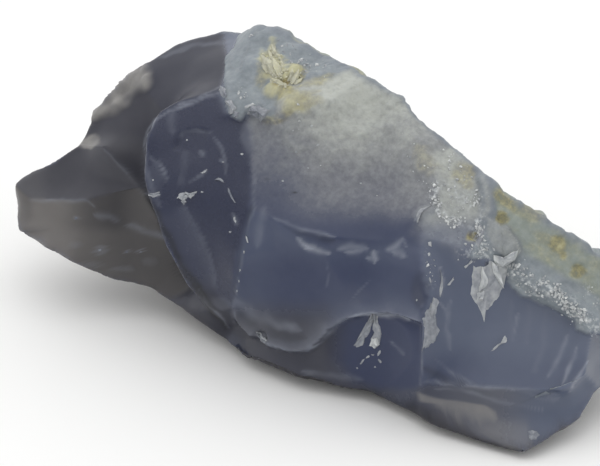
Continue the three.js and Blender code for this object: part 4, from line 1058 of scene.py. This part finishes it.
# Each crystal runs from foot to tip as a flattened six-sided rod, half sunk, with a chisel point. The small
# ones lie at random inside the star.
def makeCrystals(material, points, normals):
    chance = np.random.default_rng(pocket["seed"])
    star = onGrid(outlines["star"])
    strewn = chance.uniform(star.min(0), star.max(0), (pocket["small"] * 3, 2))
    strewn = strewn[insideOutline(strewn, "star") > 0.1][:pocket["small"]]
    angle = chance.uniform(0, 2 * np.pi, len(strewn))
    length = chance.uniform(*pocket["smallLength"], len(strewn))
    tips = strewn + np.stack([np.cos(angle), np.sin(angle)], 1) * length[:, None] * 0.7
    small = np.column_stack([strewn, tips, length * chance.uniform(0.25, 0.45, len(strewn)), length * 0.35])
    large = np.array(pocket["crystals"], float)
    large[:, :4] = (large[:, :4] * sheetStep).round(2)
    rows = np.concatenate([large, small])
    feet, outward = onStone(rows[:, :2], points, normals)
    ends, _ = onStone(rows[:, 2:4], points, normals)
    radius = rows[:, 4, None]
    feet = feet - outward * radius * 0.8
    ends = ends + outward * rows[:, 5, None]
    way = ends - feet
    reach = np.linalg.norm(way, axis=1, keepdims=True)
    way /= reach
    right = np.cross(way, outward + chance.uniform(-0.3, 0.3, outward.shape))
    right /= np.linalg.norm(right, axis=1, keepdims=True)
    ahead = np.cross(way, right) * pocket["flatness"]
    sides = pocket["sides"]
    angle = np.arange(sides) / sides * 2 * np.pi + chance.uniform(0, 1, len(rows))[:, None]
    ring = np.cos(angle)[..., None] * right[:, None] + np.sin(angle)[..., None] * ahead[:, None]
    ring = ring * radius[:, None] * chance.uniform(0.8, 1.15, (len(rows), sides, 1))
    shoulder = reach * pocket["shoulder"] * chance.uniform(0.85, 1.15, (len(rows), sides))
    low = feet[:, None] + ring
    high = low + way[:, None] * shoulder[..., None]
    bend = right * radius * chance.uniform(-0.3, 0.3, (len(rows), 1))
    vertices = np.concatenate([low, high, (ends + bend)[:, None], feet[:, None]], 1)
    return looseMesh("quartz-crystals", vertices, twoRings(sides), material, {})


# Flakes, nicks and grains of crushed quartz on the broken side.
crushed = {
    # flakes: brightness, rise in mm, outline
    "flakes": [
        [0.45, 0.4, "173 -29, 170 -42, 168 -59, 174 -71, 180 -81, 184 -93, 186 -81, 193 -75, "
            "201 -64, 206 -51, 208 -37, 200 -29, 186 -26"],
        [1, 1.1, "182 -33, 186 -45, 185 -55, 178 -60, 180 -47"],
        [1, 1.15, "191 -28, 198 -32, 204 -56, 197 -48, 191 -39"],
        [0.9, 0.9, "193 -22, 203 -25, 219 -16, 215 -27, 203 -34, 195 -31"],
        [0.7, 1, "176 -60, 182 -57, 182 -68, 177 -67"],
        [0.25, 0.35, "131 -65, 124 -79, 121 -85, 124 -95, 121 -121, 128 -117, 136 -109, 142 -99, "
            "137 -92, 135 -79, 134 -70"],
        [0.4, 0.5, "133 -63, 139 -67, 136 -81, 131 -89, 127 -79"],
        [0.35, 0.25, "140 -35, 143 -42, 143 -57, 140 -67, 139 -57, 141 -47"],
        [0.5, 0.3, "147 -52, 154 -43, 155 -46, 149 -53"],
        [0.7, 0.35, "163 -34, 172 -26, 173 -28, 165 -36"],
        [0.25, 0.3, "72 -80, 66 -89, 59 -102, 53 -112, 55 -117, 62 -115, 66 -106, 71 -98, 74 -87"],
        [0.3, 0.35, "73 -81, 79 -85, 82 -101, 80 -114, 74 -115, 70 -107, 74 -99, 72 -92"],
        [1, 0.75, "71 -105, 78 -103, 80 -112, 75 -116, 70 -112"],
        [0.45, 0.5, "-125 34, -122 39, -118 41, -113 40, -111 36, -114 33, -116 29, -119 33"],
        [0.55, 0.5, "-116 42, -112 40, -107 41, -102 42, -105 38, -109 34, -113 36"],
        [0.35, 0.4, "-120 32, -116 34, -113 31, -116 27"],
        [0.35, 0.3, "-153 39, -148 40, -140 42, -138 38, -145 35, -151 36"],
        [0.2, 0.2, "-87 53, -82 56, -76 53, -74 49, -78 51, -83 53"],
        [0.1, 0.2, "-74 49, -70 43, -67 35, -62 27, -65 29, -70 36, -73 43"],
        [0.6, 0.2, "-67 17, -65 17, -63 11, -64 8, -66 12"],
        [0.7, 0.2, "-55 -1, -53 -3, -51 -12, -53 -10"],
        [0.5, 0.2, "-100 60, -96 63, -92 65, -94 61, -98 59"],
        [0.8, 0.35, "-57 126, -52 129, -46 131, -43 129, -50 126, -55 124"],
        [0.25, 0.6, "-51 127, -42 129, -34 125, -28 123, -35 116, -40 111, -45 115, -53 119"],
        [0.4, 0.5, "-76 133, -71 127, -72 119, -67 120, -63 125, -68 133"],
        [0.35, 0.4, "-67 123, -60 121, -61 116, -67 115"],
        [0.25, 0.35, "-81 149, -74 145, -72 136, -78 135, -82 143"],
        [0.9, 0.25, "-3 170, -1 174, 5 175, 3 172, 0 171"],
        [0.7, 0.25, "3 168, 9 170, 8 167"],
        [0.75, 0.2, "-62 143, -59 141, -61 138, -63 140"],
        [0.3, 0.3, "180 11, 186 5, 184 -7, 178 -17, 174 -7, 176 5"],
        [0.2, 0.3, "227 -198, 232 -196, 238 -198, 241 -202, 237 -207, 231 -208, 228 -204"],
        [0.45, 0.25, "116 8, 115 17, 120 25, 127 28, 133 29, 128 26, 122 22, 119 17, 118 9"],
        [0.55, 0.3, "189 -120, 197 -112, 203 -106, 207 -100, 208 -109, 202 -111, 196 -116"],
        [0.3, 0.3, "-46 -97, -39 -100, -34 -107, -33 -113, -38 -110, -43 -103"],
    ],
    # nicks: place, half width and height in mm, turn in degrees, brightness
    "nicks": [
        [-113, 93, 0.2, 0.2, 0, 0.8], [-58, 79, 0.28, 0.22, 0, 0.8], [-98, 41, 0.3, 0.18, 10, 0.5],
        [-147, 53, 0.2, 0.2, 0, 0.6], [-70, 1, 0.25, 0.18, 0, 0.5], [-77, 71, 0.3, 0.16, 20, 0.4],
        [-59, 135, 0.28, 0.28, 0, 1], [-48, 198, 0.4, 0.15, -20, 0.8], [-18, 187, 0.3, 0.2, 30, 0.7],
        [-10, 179, 0.2, 0.3, 0, 0.6], [-21, 193, 0.3, 0.14, 20, 0.4], [-13, 188, 0.14, 0.35, -20, 0.5],
        [-7, 187, 0.14, 0.3, 15, 0.45], [-16, 181, 0.3, 0.16, -30, 0.5], [-4, 183, 0.3, 0.14, 40, 0.4],
        [-9, 172, 0.3, 0.16, 10, 0.5], [6, 162, 0.3, 0.15, -25, 0.5], [-50, 197, 0.35, 0.14, 25, 0.5],
        [10, 167, 0.25, 0.2, 0, 0.7], [25, 168, 0.25, 0.2, 0, 0.6], [12, 107, 0.28, 0.28, 0, 0.8],
        [18, 88, 0.3, 0.2, 0, 0.7], [-4, 81, 0.25, 0.2, 0, 0.5], [8, 65, 0.2, 0.2, 0, 0.5],
        [61, 50, 0.25, 0.2, 0, 0.7], [-17, 52, 0.2, 0.2, 0, 0.5], [110, 76, 0.3, 0.2, 0, 0.5],
        [130, -11, 0.42, 0.42, 0, 0.6], [129, -21, 0.3, 0.4, 0, 0.85], [130, -47, 0.2, 0.5, 15, 0.4],
        [127, -29, 0.14, 0.2, 0, 0.4], [117, -67, 0.15, 0.2, 0, 0.4], [-56, -19, 0.14, 0.3, 0, 0.6],
        [-60, -37, 0.14, 0.3, 0, 0.8], [-61, -48, 0.14, 0.2, 0, 0.6], [-63, -58, 0.14, 0.2, 0, 0.7],
        [62, -129, 0.6, 0.22, 50, 0.4], [68, -124, 0.5, 0.25, 25, 0.55], [73, -122, 0.3, 0.15, -10, 0.5],
        [79, -120, 0.25, 0.6, -20, 0.45], [80, -128, 0.22, 0.5, 30, 0.35], [75, -134, 0.2, 0.2, 0, 0.4],
        [57, -135, 0.2, 0.2, 0, 0.4], [-200, -17, 0.45, 0.28, 0, 0.15], [-173, -19, 0.3, 0.15, 0, 0.1],
        [-159, -19, 0.3, 0.15, 0, 0.1], [-224, 15, 0.3, 0.25, 0, 0.05],
    ],
    "nickSides": 7,
    "nickRise": 0.12,
    # grains along lines: how many, spread in mm, line
    "grains": [
        [150, 0.4, "137 50, 134 39, 136 29, 141 19, 150 14, 158 9"],
        [110, 1.3, "152 49, 162 37, 172 25, 178 13"],
        [90, 0.5, "178 11, 180 -5, 184 -21"],
        [30, 1.3, "128 55, 145 68, 162 75"],
        [200, 0.8, "205 -31, 220 -42, 235 -55, 248 -58, 260 -65, 272 -73"],
        [90, 0.5, "240 -47, 256 -57, 266 -67, 274 -81"],
        [90, 0.6, "277 -77, 284 -87, 292 -97"],
        [20, 0.6, "288 -55, 298 -72"],
        [40, 0.9, "166 -15, 176 -23, 188 -25"],
        [16, 1.6, "100 93, 120 68, 128 43"],
        [10, 1, "4 173, 18 165, 26 159"],
        [6, 0.7, "-62 145, -58 133"],
        [5, 0.8, "-8 129, 0 121, 10 123"],
        [12, 2.6, "-10 113, 40 73, 80 53"],
        [12, 0.5, "128 -17, 130 -52"],
    ],
    "grainShare": 1.7,  # grains drawn for each one counted above, before noise thins them out
    "grainSize": [0.06, 0.4],
    "seed": 3,
}


# Flakes and nicks: an outline whose rim lies on the stone, a shrunken copy raised by uneven amounts, and a
# middle point over it and another sunk in the stone. A nick is a small uneven oval.
def makeFlakes(material, points, normals):
    chance = np.random.default_rng(crushed["seed"])
    rows = [[bright, rise, onGrid(text)] for bright, rise, text in crushed["flakes"]]
    sides = crushed["nickSides"]
    for x, y, across, tall, turn, bright in crushed["nicks"]:
        angle = np.arange(sides) / sides * 2 * np.pi + chance.uniform(-0.3, 0.3, sides)
        reach = chance.uniform(0.65, 1.25, sides)
        c, s = math.cos(math.radians(turn)), math.sin(math.radians(turn))
        dx, dy = across * reach * np.cos(angle), tall * reach * np.sin(angle)
        middle = np.round([x * sheetStep, y * sheetStep], 2)
        rows.append([bright, crushed["nickRise"], middle + np.stack([c * dx - s * dy, s * dx + c * dy], 1)])
    vertices, triangles, brightness = [], [], []
    count = 0
    for bright, rise, outline in rows:
        if rise > crushed["nickRise"]:
            between = (outline + np.roll(outline, -1, 0)) / 2 + chance.normal(0, 0.07, outline.shape)
            outline = np.stack([outline, between], 1).reshape(-1, 2)
        after = np.roll(outline, -1, 0)
        if (outline[:, 0] * after[:, 1] - outline[:, 1] * after[:, 0]).sum() < 0:
            outline = outline[::-1]
        sides = len(outline)
        middle = outline.mean(0)
        inner = middle + (outline - middle) * chance.uniform(0.6, 0.85, (sides, 1))
        at, outward = onStone(np.concatenate([outline, inner, [middle, middle]]), points, normals)
        rim = 0.12 if rise > 0.8 else -0.15
        top = rim + 0.15 + rise * chance.uniform(0.1, 0.8, sides)
        lift = np.r_[np.full(sides, rim), top, rise * 0.7, -0.5]
        vertices.append(at + outward * lift[:, None])
        triangles.append(count + twoRings(sides))
        brightness.append(bright * np.r_[np.full(sides, 1.3), chance.uniform(0.4, 1.1, sides), 0.6, 1])
        count += 2 * sides + 2
    values = {"bright": np.concatenate(brightness)}
    placed = toObject(np.concatenate(vertices))
    return meshObject("quartz-flakes", placed, np.concatenate(triangles), material, values, False)


# Grains are eight-sided lumps of uneven radii, half sunk, strewn along lines with a normal spread.
def makeGrains(material, points, normals):
    chance = np.random.default_rng(crushed["seed"] + 1)
    places = []
    for count, spread, text in crushed["grains"]:
        count = int(count * crushed["grainShare"])
        line = onGrid(text)
        passed = np.r_[0, np.cumsum(np.linalg.norm(np.diff(line, axis=0), axis=1))]
        at = chance.uniform(0, passed[-1], count)
        at = np.stack([np.interp(at, passed, line[:, n]) for n in range(2)], 1)
        places.append(at + chance.normal(0, spread, (count, 2)))
    places = np.concatenate(places)
    thinning = noise(np.column_stack([places, np.zeros(len(places))]), 1.3, 17)
    places = places[thinning > -0.1]
    foot, outward = onStone(places, points, normals)
    low, high = crushed["grainSize"]
    size = low + (high - low) * chance.uniform(0, 1, len(places)) ** 3
    basis = np.linalg.qr(chance.normal(0, 1, (len(places), 3, 3)))[0]
    reach = size[:, None, None] * chance.uniform(0.4, 1.3, (len(places), 6, 1))
    middle = foot + outward * size[:, None] * 0.2
    vertices = middle[:, None] + np.concatenate([basis, -basis], 1) * reach
    pattern = rowsOf("0 1 2, 1 3 2, 3 4 2, 4 0 2, 1 0 5, 3 1 5, 4 3 5, 0 4 5").astype(int)
    bright = np.repeat(chance.uniform(0.45, 1, len(places)), 6)
    return looseMesh("quartz-grains", vertices, pattern, material, {"bright": bright})


# Adds a node and gives one of its outputs. A setting is a property, or an input by name or number; an input
# takes a value, a colour as hex, or another node's output, which is linked.
def addNode(tree, kind, settings, output=0):
    node = tree.nodes.new(kind)
    for name, value in settings.items():
        if isinstance(value, bpy.types.NodeSocket):
            tree.links.new(value, node.inputs[name])
        elif isinstance(name, int) or name in node.inputs.keys():
            node.inputs[name].default_value = linear(value) if isinstance(value, str) else value
        else:
            setattr(node, name, value)
    return node.outputs[output] if len(node.outputs) else None


# What a step of a finish does with its inputs a, b and c. Sway is a blend that is kept from 0 to 1.
operations = {
    "mix": ["ShaderNodeMix", {"data_type": "RGBA"}, (0, 6, 7), 2],  # colour b, with a share a of colour c
    "times": ["ShaderNodeMath", {"operation": "MULTIPLY"}, (0, 1), 0],
    "plus": ["ShaderNodeMath", {"operation": "ADD"}, (0, 1), 0],
    "most": ["ShaderNodeMath", {"operation": "MAXIMUM"}, (0, 1), 0],
    "blend": ["ShaderNodeMath", {"operation": "MULTIPLY_ADD"}, (0, 1, 2), 0],  # a * b + c
    "sway": ["ShaderNodeMath", {"operation": "MULTIPLY_ADD", "use_clamp": True}, (0, 1, 2), 0],
}


# A material from its finish: patterns are noise about 0, by size in mm, detail and roughness, and the mesh's
# values come by name. Each step names its result and works on numbers, colours and earlier results.
def makeMaterial(name, finish):
    material = bpy.data.materials.new(name)
    material.use_nodes = True
    tree = material.node_tree
    tree.nodes.clear()
    place = addNode(tree, "ShaderNodeTexCoord", {}, "Object")
    made = dict(finish["colours"])
    for key, (size, detail, rough) in finish["patterns"].items():
        settings = {"Vector": place, "Scale": 1 / (size * mm), "Detail": detail, "Roughness": rough}
        cloud = addNode(tree, "ShaderNodeTexNoise", settings, "Fac")
        made[key] = addNode(tree, "ShaderNodeMath", {"operation": "SUBTRACT", 0: cloud, 1: 0.5})
    for key in finish["values"].split():
        made[key] = addNode(tree, "ShaderNodeAttribute", {"attribute_name": key}, "Fac")
    for result, operation, *inputs in finish["steps"]:
        kind, settings, places, output = operations[operation]
        inputs = [made[value] if isinstance(value, str) else value for value in inputs]
        made[result] = addNode(tree, kind, {**settings, **dict(zip(places, inputs))}, output)
    surface = {key: made.get(value, value) if isinstance(value, str) else value
        for key, value in finish["surface"].items()}
    if "height" in made:
        bump = {"Strength": 0.5, "Distance": 0.4 * mm, "Height": made["height"]}
        surface["Normal"] = addNode(tree, "ShaderNodeBump", bump)
    shader = addNode(tree, "ShaderNodeBsdfPrincipled", surface)
    addNode(tree, "ShaderNodeOutputMaterial", {"Surface": shader})
    return material


# Blue lace agate, broken by hand: fine-grained chalcedony. Fresh breaks are glassy and look deep, the
# seam's outer wall is frosted and pale, and iron has stained its hollows yellow.
agateFinish = {
    "colours": {
        "lightBody": "#727a8a", "darkBody": "#303853", "lightDull": "#757270", "darkDull": "#302f34",
        "hazeAndSheenGrey": "#868b97", "frostHigh": "#b1b4ad", "frostLow": "#6d6f76", "crustHigh": "#8b9399",
        "crustLow": "#747c82", "olive": "#8a928b", "stainLight": "#b2ac7c", "stainDark": "#75672c",
        "chip": "#c4c8ca", "ochreShadeBrown": "#7a6524", "yellowLight": "#c0be9c", "yellowDark": "#98926c",
        "palePatch": "#8e8c89", "almostBlack": "#101116",
    },
    "patterns": {
        "slow": [14, 3, 0.5], "mottle": [3.2, 4, 0.6], "grain": [0.9, 5, 0.65], "sand": [0.55, 2, 0.5],
        "clump": [1.3, 3, 0.5],
    },
    "values": "tone dull haze frost high crust slope pale stain yellow ochre sugar deep",
    "steps": [
        # the body: glassy or dull by break, then veils, which also carry painted highlights and reflections
        # on the lobe's rim, the ledge and the crest
        ["shade", "sway", "slow", 0.16, "tone"],
        ["shade", "sway", "mottle", 0.12, "shade"],
        ["glassy", "mix", "shade", "lightBody", "darkBody"],
        ["dullBody", "mix", "shade", "lightDull", "darkDull"],
        ["colour", "mix", "dull", "glassy", "dullBody"],
        ["share", "sway", "mottle", 1.2, 0.9],
        ["share", "times", "haze", "share"],
        ["colour", "mix", "share", "colour", "hazeAndSheenGrey"],
        # frost, grainier where it is high, and whiter there, partly as painted light from above
        ["share", "blend", "high", 1.1, 0.1],
        ["share", "times", "grain", "share"],
        ["whiteAndLit", "sway", "mottle", 0.25, "high"],
        ["whiteAndLit", "plus", "whiteAndLit", "share"],
        ["layer", "mix", "whiteAndLit", "frostLow", "frostHigh"],
        ["colour", "mix", "frost", "colour", "layer"],
        # crust, olive on the slope
        ["share", "sway", "mottle", 2.4, 0.5],
        ["layer", "mix", "share", "crustLow", "crustHigh"],
        ["share", "sway", "mottle", 0.7, "slope"],
        ["layer", "mix", "share", "layer", "olive"],
        ["colour", "mix", "crust", "colour", "layer"],
        ["share", "sway", "mottle", 0.8, 0.8],
        ["share", "times", "pale", "share"],
        ["colour", "mix", "share", "colour", "palePatch"],
        # iron stain
        ["share", "sway", "mottle", 1.6, 0.1],
        ["share", "times", "slope", "share"],
        ["stained", "most", "stain", "share"],
        ["share", "sway", "grain", 3.0, 0.75],
        ["stained", "times", "stained", "share"],
        ["share", "sway", "grain", 3.0, 0.5],
        ["layer", "mix", "share", "stainDark", "stainLight"],
        ["colour", "mix", "stained", "colour", "layer"],
        # white specks in frost and crust
        ["coarse", "most", "frost", "crust"],
        ["share", "sway", "grain", 0.5, 0.06],
        ["share", "times", "coarse", "share"],
        ["colour", "mix", "share", "colour", "chip"],
        # the pocket, with ochre that is partly iron stain and partly painted shade in its hollow
        ["share", "sway", "mottle", 2.2, 0.6],
        ["layer", "mix", "share", "yellowDark", "yellowLight"],
        ["share", "sway", "grain", 0.8, 0.9],
        ["share", "times", "yellow", "share"],
        ["colour", "mix", "share", "colour", "layer"],
        # ochre brown: painted shade in the pocket's hollow and iron stain beside it
        ["share", "times", "ochre", 0.75],
        ["colour", "mix", "share", "colour", "ochreShadeBrown"],
        # sugary quartz, in clumps
        ["share", "blend", "sugar", 0.6, -0.3],
        ["share", "blend", "clump", 3.0, "share"],
        ["share", "sway", "sand", 4.0, "share"],
        ["cap", "sway", "sugar", 1.3, 0.0],
        ["share", "times", "share", "cap"],
        ["colour", "mix", "share", "colour", "chip"],
        ["colour", "mix", "deep", "colour", "almostBlack"],
        # roughness
        ["roughness", "blend", "dull", 0.28, 0.16],
        ["roughness", "blend", "haze", 0.12, "roughness"],
        ["roughness", "blend", "frost", 0.34, "roughness"],
        ["roughness", "blend", "crust", 0.24, "roughness"],
        ["roughness", "blend", "stain", 0.2, "roughness"],
        ["roughness", "sway", "grain", 0.12, "roughness"],
        # grains too fine to model stand up in the frost and the crust
        ["share", "blend", "high", 1.2, 0.2],
        ["share", "times", "frost", "share"],
        ["share", "sway", "crust", 0.5, "share"],
        ["height", "plus", "grain", 0.5],
        ["height", "times", "height", "share"],
    ],
    "surface": {
        "Base Color": "colour", "Roughness": "roughness", "IOR": 1.54, "Specular IOR Level": 0.3,
        "Subsurface Weight": 0.2, "Subsurface Radius": (1.0, 1.1, 1.4), "Subsurface Scale": 2.0 * mm,
    },
}

# Quartz crystals, grown in the pocket: flat glassy faces, clouded and stained yellow all over.
quartzFinish = {
    "colours": {"light": "#d4d3bc", "dark": "#9f9b7e"},
    "patterns": {"cloud": [1.5, 3, 0.5]},
    "values": "",
    "steps": [["share", "plus", "cloud", 0.5], ["colour", "mix", "share", "dark", "light"]],
    "surface": {
        "Base Color": "colour", "IOR": 1.54, "Roughness": 0.15,
        "Subsurface Weight": 0.4, "Subsurface Radius": (1.2, 1.1, 0.8), "Subsurface Scale": 1.5 * mm,
    },
}

# Quartz crushed by the blows that broke the stone: grey where it is thin, white where it is full of cracks.
crushedFinish = {
    "colours": {"light": "#d6d9d9", "dark": "#666b77"},
    "patterns": {"cloud": [0.6, 4, 0.5]},
    "values": "bright",
    "steps": [["share", "sway", "cloud", 0.5, "bright"], ["colour", "mix", "share", "dark", "light"]],
    "surface": {
        "Base Color": "colour", "IOR": 1.54, "Roughness": 0.25,
        "Subsurface Weight": 0.2, "Subsurface Radius": (1.0, 1.0, 1.1), "Subsurface Scale": 1.0 * mm,
    },
}

stoneThing, stonePoints, stoneNormals = makeStone(makeMaterial("brokenChalcedony", agateFinish))
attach(stoneThing, "root")
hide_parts("blue_lace_agate")
print("stone made", len(stoneThing.data.vertices))

crushedQuartz = makeMaterial("crushedQuartz", crushedFinish)
for piece in (
    makeCrystals(makeMaterial("stainedQuartz", quartzFinish), stonePoints, stoneNormals),
    makeFlakes(crushedQuartz, stonePoints, stoneNormals),
    makeGrains(crushedQuartz, stonePoints, stoneNormals),
):
    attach(piece, "root")
print("crystals, flakes and grains made")

# Floor, light and camera.
studio = {
    "floorColour": "#f8f8f7",
    "floorRoughness": 0.9,
    "floorHalf": 3.0,
    "skyColour": "#ffffff",
    "skyLow": 0.72,
    "skyRise": 0.62,
    "skyEase": [0.1, 0.95],  # cosines where the rise starts and ends
    "brightest": [-0.25, 0.3, 1.0],
    "azimuth": 28,
    "elevation": 30,
    "distance": 0.9,
    "target": [-1.92, -9, 20],  # mm
    "frameWidth": 90,  # mm across at the target
    "sensorWidth": 36,
}


# A wide square of matt painted board on the ground, with its corners half its width from the origin.
def makeFloor():
    mesh = bpy.data.meshes.new("floor")
    half = studio["floorHalf"]
    square = [(-half, -half, 0), (half, -half, 0), (half, half, 0), (-half, half, 0)]
    mesh.from_pydata(square, [], [(0, 1, 2, 3)])
    material = bpy.data.materials.new("matPaintedBoard")
    material.use_nodes = True
    shader = material.node_tree.nodes["Principled BSDF"]
    shader.inputs["Base Color"].default_value = linear(studio["floorColour"])
    shader.inputs["Roughness"].default_value = studio["floorRoughness"]
    mesh.materials.append(material)
    floor = bpy.data.objects.new("floor", mesh)
    bpy.context.collection.objects.link(floor)


# Light from all round, brightest overhead and a little behind the stone's left end, easing down to the
# horizon: low + rise * eased cosine of the angle from the brightest way.
def makeSky():
    world = bpy.data.worlds.new("softSky")
    world.use_nodes = True
    tree = world.node_tree
    background = tree.nodes["Background"]
    way = Vector(studio["brightest"]).normalized()
    direction = addNode(tree, "ShaderNodeTexCoord", {}, "Generated")
    product = {"operation": "DOT_PRODUCT", 0: direction, 1: way}
    towards = addNode(tree, "ShaderNodeVectorMath", product, "Value")
    low, high = studio["skyLow"], studio["skyLow"] + studio["skyRise"]
    start, end = studio["skyEase"]
    ease = {"interpolation_type": "SMOOTHSTEP", 0: towards, 1: start, 2: end, 3: low, 4: high}
    tree.links.new(addNode(tree, "ShaderNodeMapRange", ease), background.inputs["Strength"])
    background.inputs["Color"].default_value = linear(studio["skyColour"])
    bpy.context.scene.world = world


# The camera stands back from the target by the distance, turned by azimuth and raised by elevation. Its lens
# length is the sensor width times the distance over the frame width.
def makeCamera():
    azimuth, elevation = math.radians(studio["azimuth"]), math.radians(studio["elevation"])
    level = math.cos(elevation)
    back = Vector((math.sin(azimuth) * level, -math.cos(azimuth) * level, math.sin(elevation)))
    camera = bpy.data.cameras.new("camera")
    camera.sensor_width = studio["sensorWidth"]
    camera.lens = studio["sensorWidth"] * studio["distance"] / (studio["frameWidth"] * mm)
    camera.clip_start, camera.clip_end = 0.05, 50
    thing = bpy.data.objects.new("camera", camera)
    thing.location = Vector(studio["target"]) * mm + back * studio["distance"]
    thing.rotation_mode = "QUATERNION"
    thing.rotation_quaternion = (-back).to_track_quat("-Z", "Y")
    bpy.context.collection.objects.link(thing)
    bpy.context.scene.camera = thing


makeFloor()
makeSky()
bpy.context.scene.view_settings.view_transform = "Standard"
makeCamera()
print("studio ready")
